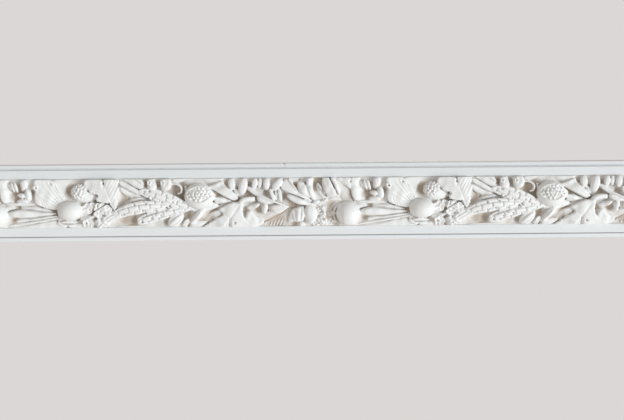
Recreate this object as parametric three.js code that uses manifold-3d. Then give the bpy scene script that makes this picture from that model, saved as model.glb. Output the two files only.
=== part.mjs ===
// Enriched plaster moulding: a run moulding with a sunk bed and two casts of fruit and foliage planted in it.
// Millimetres. X runs along the moulding, Z is up and the ornament faces -Y.
// The origin is the centre of the back.
import * as THREE from "three";
import { mergeVertices } from "three/addons/utils/BufferGeometryUtils.js";
import Module from "manifold-3d";

const wasm = await Module();
wasm.setup();

// Run moulding: heights across the face, and depths measured out from the back.
const LENGTH = 1000;
const HEIGHT = 122.4;
const FILLET = 6.2;
const QUIRK = 2.2;
const FASCIA = 14.2;
const BED = HEIGHT - 2 * (FILLET + QUIRK + FASCIA);
const FILLET_FACE = 12;
const QUIRK_FLOOR = 10.2;
const FASCIA_FACE = 17;
const BED_FLOOR = 7;
const FILLET_ROUND = 2;
const ARRIS = 0.7;

// Casts: the repeat of the pattern, the joint between the two casts, and the ground they stand on.
const REPEAT = 557.1;
const JOINT_X = 15.85;
const GAP = 0.3;
const GROUND = 5;
const FOOT = -1.5;
const MAX_RISE = 34;

// The pattern is laid out in (u, v): u runs right from the joint, v up from the middle of the bed.
// A rise is a height above the ground at the base, the middle and the tip.
const BLADES = [
  // Broad leaf right of the joint.
  { base: [25, 4], tip: [7, 42], width: 27, rise: [8, 14, 12], fold: 4, belly: 0.6 },
  // Petals of the big flower.
  { base: [74, 1], tip: [47, 39], width: 21, rise: [10, 15, 14], fold: -2, belly: 0.6, bow: 5 },
  { base: [62, 3], tip: [101, 5], width: 10, rise: [9, 12, 10], fold: 2, bow: -2 },
  { base: [84, 4], tip: [91, 38], width: 15, rise: [10, 14, 13], fold: -2 },
  // Long strap leaves that fan out to the left from under the round fruit.
  { base: [139, -10], tip: [56, -1], width: 13, rise: [7, 9, 7], fold: 2, bow: -3 },
  { base: [139, -17], tip: [55, -18], width: 16, rise: [8, 12, 11], fold: 2.5, bow: 3, belly: 0.62 },
  { base: [155, -32], tip: [52, -36], width: 15, rise: [7, 10, 8], fold: 2.5, bow: 2, belly: 0.62 },
  // Curled leaf under the round fruit, and the strap that carries it.
  { base: [188, -32], tip: [135, -31], width: 14, rise: [6, 9, 11], fold: -3, belly: 0.62 },
  { base: [198, -20], tip: [168, -27], width: 9, rise: [6, 8, 8], fold: 1.5 },
  // Husks and blades left of the upper ear.
  { base: [281, 12], tip: [237, 37], width: 10, rise: [10, 12, 11], fold: 2 },
  { base: [283, 22], tip: [246, 38], width: 11, rise: [8, 10, 9], fold: 1.5 },
  { base: [285, 8], tip: [249, 4], width: 11, rise: [8, 9, 8], fold: 2, bow: -3 },
  // Boat-shaped leaf under the ears.
  { base: [269, -27], tip: [222, -35], width: 19, rise: [4, 3, 5], fold: -3 },
  // Leaves right of the split fruit.
  { base: [372, 29], tip: [422, 2], width: 25, rise: [13, 16, 10], fold: 7, bow: 2 },
  { base: [380, 4], tip: [418, 1], width: 17, rise: [8, 9, 7], fold: 2 },
  { base: [352, -11], tip: [398, 0], width: 12, rise: [8, 10, 8], fold: 2, bow: -2 },
  { base: [398, -6], tip: [358, -37], width: 20, rise: [5, 7, 5], fold: 2 },
  // Laurel leaflets.
  { base: [421, 17], tip: [413, 38], width: 16, rise: [7, 11, 9], fold: 3 },
  { base: [438, 13], tip: [433, 38], width: 18, rise: [8, 14, 11], fold: 4 },
  { base: [452, 17], tip: [455, 38], width: 15, rise: [8, 13, 10], fold: 3 },
  { base: [468, 16], tip: [471, 38], width: 15, rise: [8, 12, 10], fold: 3 },
  { base: [477, 20], tip: [493, 37], width: 15, rise: [7, 11, 9], fold: 3 },
  { base: [484, 1], tip: [475, 22], width: 13, rise: [9, 13, 11], fold: 3 },
  { base: [489, 0], tip: [495, 21], width: 12, rise: [9, 12, 10], fold: 3 },
  { base: [467, 6], tip: [439, 19], width: 13, rise: [10, 14, 11], fold: 3 },
  { base: [472, 1], tip: [464, -21], width: 13, rise: [9, 13, 10], fold: 3 },
  { base: [507, -7], tip: [475, -13], width: 18, rise: [10, 14, 10], fold: 3 },
  { base: [446, -8], tip: [440, -32], width: 13, rise: [10, 11, 7], fold: 2 },
  // Blades that spring from the knot at the joint.
  { base: [552, -1], tip: [489, 29], width: 19, rise: [9, 14, 12], fold: 3.5, belly: 0.66 },
  { base: [551, -5], tip: [500, 11], width: 15, rise: [10, 17, 15], fold: 3, belly: 0.62 },
  { base: [549, 1], tip: [517, 36], width: 19, rise: [8, 13, 13], fold: -3, belly: 0.66 },
  { base: [554, 1], tip: [535, 38], width: 20, rise: [8, 15, 14], fold: 3, belly: 0.64 },
  { base: [561, 4], tip: [553, 34], width: 13, rise: [7, 10, 9], fold: 2 },
];
const LONG_BLADE = 60;

// Ribbed blades: the two sides differ, and the ribs run across from the midrib.
const RIBBED_BLADES = [
  { base: [552, -5], tip: [462, -33], sides: [22, 3], rise: [11, 15, 12], fold: 7, ribs: 5, belly: 0.42 },
  { base: [524, -5], tip: [512, -34], sides: [7, 6], rise: [13, 16, 11], fold: 3, ribs: 2, belly: 0.5 },
  { base: [542, -4], tip: [539, -38], sides: [10, 9], rise: [12, 17, 12], fold: 4, ribs: 2, belly: 0.55 },
];

// Stalks follow the points given.
const STALKS = [
  { points: [[438, 26], [450, 16], [463, 9], [475, 5], [487, 0], [507, -9]], width: 5, rise: [11, 14, 11] },
  { points: [[421, 2], [428, 5], [437, 9], [447, 8], [456, 3]], width: 6, rise: [11, 14, 12] },
  { points: [[440, -12], [447, -7], [459, -2]], width: 6, rise: [9, 14, 10] },
  { points: [[205, -30], [216, -24], [228, -18], [243, -14]], width: 12, rise: [9, 13, 13] },
  { points: [[17, -9], [13, -20], [19, -36]], width: 9, rise: [9, 11, 8] },
];

// Ears: rows of kernels along a bowed spindle.
const EARS = [
  { base: [232, -16], tip: [326, -5], width: 20, bow: 5, rise: [12, 17, 12], kernels: 5, rows: 3 },
  { base: [264, -31], tip: [355, -8], width: 17, bow: -2, rise: [8, 14, 12], kernels: 5, rows: 3 },
  { base: [268, 20], tip: [345, -8], width: 20, bow: 2, rise: [10, 15, 12], kernels: 5, rows: 3 },
];

// Pods: smooth or grooved spindles, such as nuts, hips and buds.
const PODS = [
  { base: [313, -36], tip: [333, -18], width: 17, rise: [7, 12, 9], groove: 1.2 },
  { base: [335, -36], tip: [347, -28], width: 9, rise: [5, 8, 6], groove: 0 },
  { base: [348, -35], tip: [373, -9], width: 13, rise: [9, 14, 10], groove: 1.5 },
  { base: [291, 16], tip: [284, 37], width: 16, rise: [10, 16, 12], groove: 0 },
  { base: [318, 14], tip: [309, 37], width: 17, rise: [10, 17, 13], groove: 0 },
];

// Round fruit: half axes across and up, turn in degrees, and height above the ground.
const PEACH = { at: [41, -18], radii: [19.5, 19], turn: 0, rise: 26, shoulder: 7 };
const ROUND_FRUIT = { at: [155.5, -11.5], radii: [19, 15.3], turn: 0, rise: 26, shoulder: 9 };
const BERRY = { at: [178, 15], radii: [17, 12.5], turn: -8, rise: 18, shoulder: 5 };
const SPLIT_FRUIT = { at: [363.5, 10.5], radii: [22.5, 20], turn: 0, rise: 31, shoulder: 10 };
const SPLIT = { at: [362, 13.5], radii: [19, 12.5, 9], lift: 30 };
const SEED = 3.3;
const SEED_ROWS = [[-6.4, 3], [0, 5], [6.4, 3]];
const SEED_PITCH = 6;

// Flowers: outer radius, petals, rise of the rim, depth of the throat and the share of the radius it takes.
const FLOWERS = [
  { at: [447, -9], radii: [17, 16], petals: 4, rise: 14, throat: 10, mouth: 0.6, scallop: 0.06 },
  { at: [187, -7.5], radii: [10.5, 10.5], petals: 5, rise: 13, throat: 3, mouth: 0.4, scallop: 0.16 },
  { at: [209, -9.5], radii: [13, 12.5], petals: 5, rise: 15, throat: 3.5, mouth: 0.4, scallop: 0.16 },
  { at: [185.5, -32], radii: [8, 7.5], petals: 5, rise: 11, throat: 2.5, mouth: 0.4, scallop: 0.14 },
  { at: [208, -32], radii: [12, 9], petals: 8, rise: 12, throat: 2, mouth: 0.4, scallop: 0.2 },
  { at: [334, 19], radii: [6.5, 6.5], petals: 1, rise: 9, throat: 4, mouth: 0.45, scallop: 0 },
];

// Bead in the big flower's throat.
const BEADS = [{ at: [75, 9.5], radius: 4.2, rise: 15 }];

// Lobed leaves: the outline goes round the centre.
const LOBED_LEAVES = [
  {
    at: [214, 18],
    outline: [
      [195, 37], [184, 36], [182, 31], [188, 24], [186, 20], [193, 17], [203, 14], [201, 8],
      [206, 4], [219, 1], [225, -8], [228, -11], [232, -4], [234, 4], [239, 11], [235, 17],
      [239, 26], [234, 27], [236, 33], [228, 38], [216, 37], [213, 27], [210, 37],
    ],
    rise: 20,
    drop: 3,
  },
  {
    at: [415, -17],
    outline: [
      [432, -1], [420, 1], [408, 0], [402, -6], [395, -11], [402, -16], [398, -22], [388, -27],
      [368, -38], [384, -38], [398, -35], [408, -38], [413, -28], [414, -38], [430, -38],
      [428, -29], [434, -22], [430, -12], [434, -5],
    ],
    rise: 16,
    drop: 3,
  },
];

// Fan leaf: springs from one point, and its ribs spread between two directions.
const FAN = { at: [146, -6], from: 76, to: 192, reach: [34, 52, 38], ribs: 6, rise: [7, 13, 12], rib: 2.2 };

// Filler lumps in the rough joint.
const LUMPS = { count: 4, radius: 5.5, rise: 11, top: 1, bottom: -36, spread: 5 };

const PLASTER = new THREE.MeshStandardMaterial({ name: "white_plaster", color: 0xefeeea, roughness: 0.6 });

/** Turns a closed three.js geometry into a solid. */
function solid(geometry) {
  geometry.deleteAttribute("normal");
  geometry.deleteAttribute("uv");
  const merged = mergeVertices(geometry, 1e-4);
  const vertProperties = new Float32Array(merged.getAttribute("position").array);
  const triVerts = new Uint32Array(merged.getIndex().array);
  return new wasm.Manifold(new wasm.Mesh({ numProp: 3, vertProperties, triVerts }));
}

/** Turns a solid back into a named mesh. */
function meshOf(name, body) {
  const { vertProperties, triVerts } = body.getMesh();
  const geometry = new THREE.BufferGeometry();
  geometry.setAttribute("position", new THREE.BufferAttribute(new Float32Array(vertProperties), 3));
  geometry.setIndex(new THREE.BufferAttribute(new Uint32Array(triVerts), 1));
  geometry.computeVertexNormals();
  const mesh = new THREE.Mesh(geometry, PLASTER);
  mesh.name = name;
  return mesh;
}

/** Closed box between two corners. */
function block(low, high) {
  const size = high.map((value, axis) => value - low[axis]);
  const box = new THREE.BoxGeometry(...size);
  box.translate(...low.map((value, axis) => value + size[axis] / 2));
  return solid(box);
}

/** Slab on the ground: its top follows top(s, t), s from 0 to 1 along it and t from -1 to 1 across. */
function strip(steps, rows, top) {
  const box = new THREE.BoxGeometry(1, 1, 1, steps, rows, 1);
  const place = box.getAttribute("position");
  for (let index = 0; index < place.count; index += 1) {
    const [u, v, w] = top(place.getX(index) + 0.5, place.getY(index) * 2);
    place.setXYZ(index, u, v, place.getZ(index) > 0 ? w : FOOT);
  }
  return solid(box);
}

/** Round slab on the ground: its top follows top(f, angle), f from 0 at the centre to 1 at the rim. */
function disc(sectors, fractions, top) {
  const profile = [new THREE.Vector2(0, 0), new THREE.Vector2(1, 0)];
  [...fractions].reverse().forEach((fraction) => profile.push(new THREE.Vector2(fraction, 1)));
  const lathe = new THREE.LatheGeometry(profile, sectors);
  lathe.rotateX(Math.PI / 2);
  const place = lathe.getAttribute("position");
  for (let index = 0; index < place.count; index += 1) {
    const x = place.getX(index);
    const y = place.getY(index);
    const [u, v, w] = top(Math.hypot(x, y), Math.atan2(y, x));
    place.setXYZ(index, u, v, place.getZ(index) > 0.5 ? w : FOOT);
  }
  return solid(lathe);
}

/** Parabola through three heights at the start, the middle and the end. */
function through([start, middle, end], s) {
  return start * (1 - s) * (1 - 2 * s) + 4 * middle * s * (1 - s) + end * s * (2 * s - 1);
}

/** Point on a bowed line from base to tip, pushed sideways by an offset. */
function along(base, tip, bow, s, offset) {
  const du = tip[0] - base[0];
  const dv = tip[1] - base[1];
  const length = Math.hypot(du, dv);
  const side = offset + 4 * bow * s * (1 - s);
  return [base[0] + du * s - (dv / length) * side, base[1] + dv * s + (du / length) * side];
}

/** Share of the full width of a leaf at s, widest at the belly. */
function leafWidth(s, belly, least = 0.14) {
  const power = Math.log(0.5) / Math.log(belly);
  return Math.max(least, Math.sin(Math.PI * Math.pow(s, power)));
}

/** Leaf blade with a midrib; a fold above zero lets the edges drop, below zero lifts them. */
function blade({ base, tip, width, rise, fold, bow = 0, belly = 0.5 }) {
  const steps = Math.hypot(tip[0] - base[0], tip[1] - base[1]) > LONG_BLADE ? 4 : 3;
  return strip(steps, 2, (s, t) => {
    const half = (width / 2) * leafWidth(s, belly);
    return [...along(base, tip, bow, s, t * half), through(rise, s) - fold * Math.abs(t)];
  });
}

/** Blade with unequal sides and ribs that run out from the midrib. */
function ribbedBlade({ base, tip, sides, rise, fold, ribs, belly }) {
  const steps = 2 * ribs;
  return strip(steps, 2, (s, t) => {
    const half = (t > 0 ? sides[0] : sides[1]) * leafWidth(s, belly);
    const ridge = Math.round(s * steps) % 2 === 1 ? 1 : -1;
    return [...along(base, tip, 0, s, t * half), through(rise, s) - fold * Math.abs(t) + ridge * Math.abs(t)];
  });
}

/** Round-backed stalk along a smooth curve. */
function stalk({ points, width, rise }) {
  const curve = new THREE.SplineCurve(points.map(([u, v]) => new THREE.Vector2(u, v)));
  return strip(points.length, 2, (s, t) => {
    const point = curve.getPoint(s);
    const tangent = curve.getTangent(s);
    const offset = (t * width) / 2;
    const drop = (width / 4) * Math.abs(t);
    return [point.x - tangent.y * offset, point.y + tangent.x * offset, through(rise, s) - drop];
  });
}

/** Arched spindle of rows of kernels, staggered from row to row. */
function ear({ base, tip, width, bow, rise, kernels, rows }) {
  const steps = 2 * kernels;
  return strip(steps, 2 * rows, (s, t) => {
    const half = (width / 2) * Math.max(0.2, Math.pow(Math.sin(Math.PI * Math.pow(s, 0.9)), 0.6));
    const turn = (t * Math.PI) / 2.4;
    const column = Math.round(s * steps);
    const row = Math.round((t + 1) * rows);
    const inside = column > 0 && column < steps && row % 2 === 1;
    const swell = inside && (column + (row - 1) / 2) % 2 === 1 ? 1.6 : 0;
    const lateral = (half + swell * 0.4) * Math.sin(turn);
    const w = through(rise, s) - half * 0.8 * (1 - Math.cos(turn)) + swell;
    return [...along(base, tip, bow, s, lateral), w];
  });
}

/** Smooth spindle, with a groove along the middle where one is given. */
function pod({ base, tip, width, rise, groove }) {
  return strip(4, width > 10 ? 4 : 2, (s, t) => {
    const half = (width / 2) * Math.max(0.25, Math.sin(Math.PI * (0.06 + 0.88 * s)));
    const turn = (t * Math.PI) / 2.3;
    const sink = Math.abs(t) < 0.1 ? groove : 0;
    const w = through(rise, s) - half * (1 - Math.cos(turn)) - sink;
    return [...along(base, tip, 0, s, half * Math.sin(turn)), w];
  });
}

/** Dome on an oval plan, standing on an upright wall as high as its shoulder. */
function dome({ at, radii, turn, rise, shoulder }, sectors, shape = (f, angle) => [f, 0]) {
  const fractions = sectors > 8 ? [0, 0.5, 0.86, 1] : [0, 0.75, 1];
  const tilt = (turn * Math.PI) / 180;
  return disc(sectors, fractions, (f, angle) => {
    const [reach, swell] = shape(f, angle);
    const x = radii[0] * reach * Math.cos(angle);
    const y = radii[1] * reach * Math.sin(angle);
    const w = shoulder + (rise - shoulder) * Math.sqrt(Math.max(0, 1 - f * f)) + swell;
    const u = at[0] + x * Math.cos(tilt) - y * Math.sin(tilt);
    const v = at[1] + x * Math.sin(tilt) + y * Math.cos(tilt);
    return [u, v, w];
  });
}

/** Cleft fruit: a dome with a crease down its left side. */
function peach() {
  return dome(PEACH, 14, (f, angle) => {
    const crease = Math.abs(Math.abs(angle) - Math.PI) < 0.5 && f > 0.5;
    return [f, crease ? -4 : 0];
  });
}

/** Berry: a dome with a knobbed skin on the upper left and a pointed cup on the right. */
function berry() {
  return dome(BERRY, 14, (f, angle) => {
    const cup = Math.abs(angle) < 0.35 && f > 0.95;
    const sector = Math.round(((angle + Math.PI / 2) * 7) / Math.PI);
    const ring = Math.round(f * 3);
    const knob = f < 0.95 && f > 0.1 && (sector + ring) % 2 === 0;
    return [cup ? 1.3 : f, knob ? 1.4 : 0];
  });
}

/** Split fruit: a dome opened by a lens-shaped cut that shows its seeds. */
function splitFruit() {
  const cutter = new THREE.SphereGeometry(1, 12, 6);
  cutter.scale(...SPLIT.radii);
  cutter.translate(SPLIT.at[0], SPLIT.at[1], SPLIT.lift);
  const floor = SPLIT.lift - SPLIT.radii[2];
  let body = dome(SPLIT_FRUIT, 14).subtract(solid(cutter));
  SEED_ROWS.forEach(([v, count]) => {
    for (let index = 0; index < count; index += 1) {
      const u = (index - (count - 1) / 2) * SEED_PITCH;
      const lift = 9 * (1 - Math.sqrt(1 - (u / SPLIT.radii[0]) ** 2 - (v / SPLIT.radii[1]) ** 2));
      const seed = new THREE.OctahedronGeometry(SEED, 0);
      seed.translate(SPLIT.at[0] + u, SPLIT.at[1] + v, floor + lift);
      body = body.add(solid(seed));
    }
  });
  return body;
}

/** Open flower: a scalloped rim around a sunk throat. */
function flower({ at, radii, petals, rise, throat, mouth, scallop }) {
  const sectors = Math.max(8, 2 * petals);
  const fractions = throat > 5 ? [0, mouth * 0.75, mouth, 1] : [0, mouth, 1];
  return disc(sectors, fractions, (f, angle) => {
    const reach = f * (1 + (f > 0.8 ? scallop * Math.cos(petals * angle) : 0));
    const sunk = f < mouth * 0.9 ? throat : 0;
    const fall = f > 0.95 ? rise * 0.25 : 0;
    const u = at[0] + radii[0] * reach * Math.cos(angle);
    const v = at[1] + radii[1] * reach * Math.sin(angle);
    return [u, v, rise - sunk - fall];
  });
}

/** Small round bead. */
function bead({ at, radius, rise }) {
  return dome({ at, radii: [radius, radius], turn: 0, rise, shoulder: rise - radius }, 6);
}

/** Lobed leaf: facets fall from its raised centre to the points and notches of its outline. */
function lobedLeaf({ at, outline, rise, drop }) {
  const count = outline.length;
  return disc(count, [0, 1], (f, angle) => {
    const turns = (angle + Math.PI / 2) / (2 * Math.PI) + 1;
    const corner = outline[Math.round(turns * count) % count];
    return [at[0] + (corner[0] - at[0]) * f, at[1] + (corner[1] - at[1]) * f, rise - drop * f];
  });
}

/** Fan leaf with ribs that spread from its base. */
function fanLeaf({ at, from, to, reach, ribs, rise, rib }) {
  const rows = 2 * ribs;
  return strip(2, rows, (s, t) => {
    const share = (t + 1) / 2;
    const angle = ((from + (to - from) * share) * Math.PI) / 180;
    const radius = through(reach, share) * (0.12 + 0.88 * s);
    const ridge = Math.round(share * rows) % 2 === 1 ? rib * s : 0;
    return [at[0] + radius * Math.cos(angle), at[1] + radius * Math.sin(angle), through(rise, s) + ridge];
  });
}

/** Lumps of filler down the joint at u. */
function fillerLumps(u) {
  const bodies = [];
  for (let index = 0; index < LUMPS.count; index += 1) {
    const share = index / (LUMPS.count - 1);
    const v = LUMPS.top + (LUMPS.bottom - LUMPS.top) * share;
    const radius = LUMPS.radius * (0.8 + 0.25 * Math.sin(index * 2.4));
    const rise = LUMPS.rise + 2 * Math.cos(index * 1.7);
    const at = [u + LUMPS.spread * Math.sin(index * 3.9), v];
    bodies.push(dome({ at, radii: [radius, radius], turn: 0, rise, shoulder: rise - radius }, 6));
  }
  return bodies;
}

/** All the ornament of one repeat, in the layout's own frame. */
function repeatBodies() {
  return [
    ...BLADES.map(blade),
    ...RIBBED_BLADES.map(ribbedBlade),
    ...STALKS.map(stalk),
    ...EARS.map(ear),
    ...PODS.map(pod),
    ...FLOWERS.map(flower),
    ...BEADS.map(bead),
    ...LOBED_LEAVES.map(lobedLeaf),
    fanLeaf(FAN),
    peach(),
    dome(ROUND_FRUIT, 14),
    berry(),
    splitFruit(),
    ...fillerLumps(0),
    ...fillerLumps(REPEAT),
  ];
}

/** One cast, from u = start to u = end, trimmed to the bed, with its ground under the ornament. */
function cast(name, ornament, start, end, originX) {
  const half = BED / 2 - GAP;
  const ground = block([start, -half, -GROUND], [end, half, 0]);
  const room = block([start, -half, -GROUND], [end, half, MAX_RISE]);
  const mesh = meshOf(name, ornament.add(ground).intersect(room));
  mesh.geometry.rotateX(Math.PI / 2);
  mesh.geometry.translate(originX, -(BED_FLOOR + GAP + GROUND), 0);
  return mesh;
}

/** The run moulding: one section extruded along the length. */
function runMoulding() {
  const half = HEIGHT / 2;
  const filletFoot = half - FILLET;
  const fasciaTop = filletFoot - QUIRK;
  const bedEdge = BED / 2;
  const upper = [
    [0, half],
    [FILLET_FACE - FILLET_ROUND, half],
    [FILLET_FACE - FILLET_ROUND * 0.29, half - FILLET_ROUND * 0.29],
    [FILLET_FACE, half - FILLET_ROUND],
    [FILLET_FACE, filletFoot],
    [QUIRK_FLOOR, filletFoot - ARRIS],
    [QUIRK_FLOOR, fasciaTop],
    [FASCIA_FACE - ARRIS, fasciaTop],
    [FASCIA_FACE, fasciaTop - ARRIS],
    [FASCIA_FACE, bedEdge + ARRIS],
    [FASCIA_FACE - ARRIS, bedEdge],
    [BED_FLOOR, bedEdge],
  ];
  const lower = [...upper].reverse().map(([depth, z]) => [depth, -z]);
  const section = new THREE.Shape([...upper, ...lower].map(([depth, z]) => new THREE.Vector2(-depth, z)));
  const run = new THREE.ExtrudeGeometry(section, { depth: LENGTH, bevelEnabled: false });
  const axes = new THREE.Matrix4().makeBasis(
    new THREE.Vector3(0, 1, 0),
    new THREE.Vector3(0, 0, 1),
    new THREE.Vector3(1, 0, 0),
  );
  run.applyMatrix4(axes);
  run.translate(-LENGTH / 2, 0, 0);
  return meshOf("run_moulding", solid(run));
}

const ornament = repeatBodies().reduce((sum, body) => sum.add(body));
const rightEnd = LENGTH / 2 - JOINT_X;
const leftOrigin = JOINT_X - REPEAT;
const leftStart = -LENGTH / 2 - leftOrigin;

const moulding = new THREE.Group();
moulding.name = "enriched_moulding";
moulding.add(runMoulding());
moulding.add(cast("enrichment_cast_left", ornament, leftStart, REPEAT - GAP / 2, leftOrigin));
moulding.add(cast("enrichment_cast_right", ornament, GAP / 2, rightEnd, JOINT_X));

export default moulding;
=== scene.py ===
"""Enriched plaster moulding: plain run rails, and two casts of fruit and foliage planted in the bed."""

import logging
import math
import random
from dataclasses import dataclass
from enum import Enum
from typing import Callable, Dict, List, Optional, Sequence, Tuple, Union

import bmesh
import bpy
from mathutils import Matrix, Vector, noise

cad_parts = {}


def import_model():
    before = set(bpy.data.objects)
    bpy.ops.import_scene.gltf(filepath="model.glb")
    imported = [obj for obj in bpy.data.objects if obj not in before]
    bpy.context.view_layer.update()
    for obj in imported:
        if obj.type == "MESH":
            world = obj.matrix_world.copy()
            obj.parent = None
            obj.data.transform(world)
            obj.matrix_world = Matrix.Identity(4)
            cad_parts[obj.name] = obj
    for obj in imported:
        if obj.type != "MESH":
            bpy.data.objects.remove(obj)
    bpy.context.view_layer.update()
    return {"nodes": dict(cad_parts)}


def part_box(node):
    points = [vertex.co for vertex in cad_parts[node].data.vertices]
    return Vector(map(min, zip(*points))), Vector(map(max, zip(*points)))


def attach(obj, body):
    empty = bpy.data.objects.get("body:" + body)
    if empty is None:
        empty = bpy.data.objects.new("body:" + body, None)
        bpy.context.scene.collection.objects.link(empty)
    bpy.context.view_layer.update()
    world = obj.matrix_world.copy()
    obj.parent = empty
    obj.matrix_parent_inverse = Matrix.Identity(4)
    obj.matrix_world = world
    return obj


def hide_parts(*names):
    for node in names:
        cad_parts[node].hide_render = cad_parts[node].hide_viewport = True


LOG = logging.getLogger("moulding")

Point = Tuple[float, float]
Place = Tuple[float, float, float]
Rise = Tuple[float, float, float]
Dip = Tuple[float, float, float, float]
Waves = Tuple[float, float, float, float]
Colour = Tuple[float, float, float, float]
Line = Tuple[float, float, float, float, float]
Surface = Callable[[float, float], Place]
Solid = bmesh.types.BMesh
Wire = Tuple[bpy.types.Node, str, bpy.types.Node, Union[str, int]]

MM = 0.001

# Sizes of the pattern are in millimetres: u runs right from the joint, v up from the middle of the
# bed, and w out of the ground.
REPEAT = 557.1
JOINT_X = 15.85
FOOT = -2.5
GROUND = 5.0
VOXEL = 0.62
MOST_TRIANGLES = 224000
# Point attribute that says where shade is painted: in the creases of the casts, in the run's quirks and on
# its top edge.
SHADE_MARKS = "crease"

# Distances that still count as touching, in the units of the mesh at hand.
WELD = 1e-5
ON_PLANE = 1e-7
ON_TOP = 0.01

# Shares of a side where a corner is cut, the width of a petal's foot, and rates of crossing waves.
CORNER_CUTS = (0.25, 0.75)
PETAL_FOOT = 0.3
LEAF_WAVES = (0.27, 0.17, 0.31, 0.14)
GROUND_WAVES = (0.23, 0.11, 0.19, 0.07)


class Outline(Enum):
    """How the width of a blade runs: its least share, and the power that rounds its tip."""

    LEAF = (0.05, 0.85)
    PETAL = (0.06, 0.42)


class Veins(Enum):
    """How the veins of a leaf run: the share of each step that goes along the spine and away from it."""

    BRANCHED = (1.0, 0.9)
    PARALLEL = (0.0, 1.0)


def through(rise: Rise, s: float) -> float:
    """Height at s on the parabola through three heights.

    Args:
        rise: Heights at the start, the middle and the end.
        s: Share of the length, from 0 to 1.

    Returns:
        The height at s.
    """
    start, middle, end = rise
    return start * (1 - s) * (1 - 2 * s) + 4 * middle * s * (1 - s) + end * s * (2 * s - 1)


def along(base: Point, tip: Point, bow: float, s: float, offset: float) -> Point:
    """Point on a bowed line, pushed sideways.

    Args:
        base: Start of the line.
        tip: End of the line.
        bow: How far the middle of the line is pushed to its left.
        s: Share of the length.
        offset: Distance to the left of the line.

    Returns:
        The point.
    """
    du = tip[0] - base[0]
    dv = tip[1] - base[1]
    length = math.hypot(du, dv)
    side = offset + 4 * bow * s * (1 - s)
    return (base[0] + du * s - dv / length * side, base[1] + dv * s + du / length * side)


def distance_to(spot: Point, start: Point, end: Point) -> float:
    """Distance from a spot to a straight line between two points."""
    du = end[0] - start[0]
    dv = end[1] - start[1]
    share = ((spot[0] - start[0]) * du + (spot[1] - start[1]) * dv) / (du * du + dv * dv)
    share = max(0.0, min(1.0, share))
    return math.hypot(spot[0] - start[0] - du * share, spot[1] - start[1] - dv * share)


def bump(distance: float, reach: float) -> float:
    """Soft bump of height 1 that fades out over a distance."""
    return math.exp(-((distance / reach) ** 2))


def ripple(u: float, v: float, size: float, waves: Waves) -> float:
    """Height at a point of two waves that cross, for gentle unevenness."""
    first, second, third, fourth = waves
    return size * math.sin(first * u + second * v) * math.sin(third * v - fourth * u)


def sides_of(points: Sequence[Point]) -> List[Tuple[Point, Point]]:
    """Pairs each corner of an outline with the next one."""
    return list(zip(points, [*points[1:], points[0]]))


def sliced(
    bm: Solid, point: Sequence[float], normal: Sequence[float], near: float, clear: bool = False
) -> List[bmesh.types.BMEdge]:
    """Cuts a mesh along a plane.

    Args:
        bm: The mesh, changed in place.
        point: Point on the plane.
        normal: Direction of its far side.
        near: Distance from the plane that still counts as on it.
        clear: Whether the far side goes.

    Returns:
        The edges on the cut.
    """
    geom = [*bm.verts, *bm.edges, *bm.faces]
    result = bmesh.ops.bisect_plane(
        bm, geom=geom, dist=near, plane_co=point, plane_no=normal, clear_outer=clear
    )
    return [item for item in result["geom_cut"] if isinstance(item, bmesh.types.BMEdge)]


def thickened(bm: Solid) -> Tuple[List[bmesh.types.BMVert], List[bmesh.types.BMVert]]:
    """Doubles a flat mesh into a slab.

    Args:
        bm: The flat mesh, changed in place.

    Returns:
        The points of its foot and those of its crown.
    """
    foot = list(bm.verts)
    grown = bmesh.ops.extrude_face_region(bm, geom=list(bm.faces))["geom"]
    return foot, [item for item in grown if isinstance(item, bmesh.types.BMVert)]


def drawn_in(spot: Sequence[float], centre: Sequence[float], share: float) -> Place:
    """Point of a slab's foot: drawn in toward a centre and sunk in the ground."""
    u = centre[0] + (spot[0] - centre[0]) * share
    return (u, centre[1] + (spot[1] - centre[1]) * share, FOOT)


def raise_strip(steps: int, rows: int, top: Surface, undercut: float) -> Solid:
    """Closed slab whose top follows a surface and whose foot is drawn in and sunk in the ground.

    Args:
        steps: Cells along the strip.
        rows: Cells across it.
        top: Surface from (s, t), s from 0 to 1 along the strip and t from -1 to 1 across it.
        undercut: Width of the foot as a share of the top's.

    Returns:
        The slab.
    """
    bm = bmesh.new()
    bmesh.ops.create_grid(bm, x_segments=steps, y_segments=rows, size=1.0)
    foot, crown = thickened(bm)
    for vert in foot:
        s = (vert.co.x + 1) / 2
        vert.co = drawn_in(top(s, vert.co.y), top(s, 0.0), undercut)
    for vert in crown:
        vert.co = top((vert.co.x + 1) / 2, vert.co.y)
    return bm


def raise_disc(sectors: int, rings: int, top: Surface, undercut: float) -> Solid:
    """Closed round slab whose top follows a surface and whose foot is drawn in and sunk in the ground.

    Args:
        sectors: Cells round the disc.
        rings: Cells from its centre to its rim.
        top: Surface from (f, angle), f from 0 at the centre to 1 at the rim.
        undercut: Width of the foot as a share of the top's.

    Returns:
        The slab.
    """
    bm = bmesh.new()
    spoke = [bm.verts.new((ring / rings, 0.0, 0.0)) for ring in range(rings + 1)]
    edges = [bm.edges.new(pair) for pair in zip(spoke, spoke[1:])]
    bmesh.ops.spin(
        bm, geom=spoke + edges, cent=(0, 0, 0), axis=(0, 0, 1), angle=2 * math.pi, steps=sectors,
        use_merge=True,
    )
    bmesh.ops.remove_doubles(bm, verts=list(bm.verts), dist=WELD)
    foot, crown = thickened(bm)
    centre = top(0.0, 0.0)
    for vert in foot:
        spot = top(math.hypot(vert.co.x, vert.co.y), math.atan2(vert.co.y, vert.co.x))
        vert.co = drawn_in(spot, centre, undercut)
    for vert in crown:
        vert.co = top(math.hypot(vert.co.x, vert.co.y), math.atan2(vert.co.y, vert.co.x))
    return bm


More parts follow.
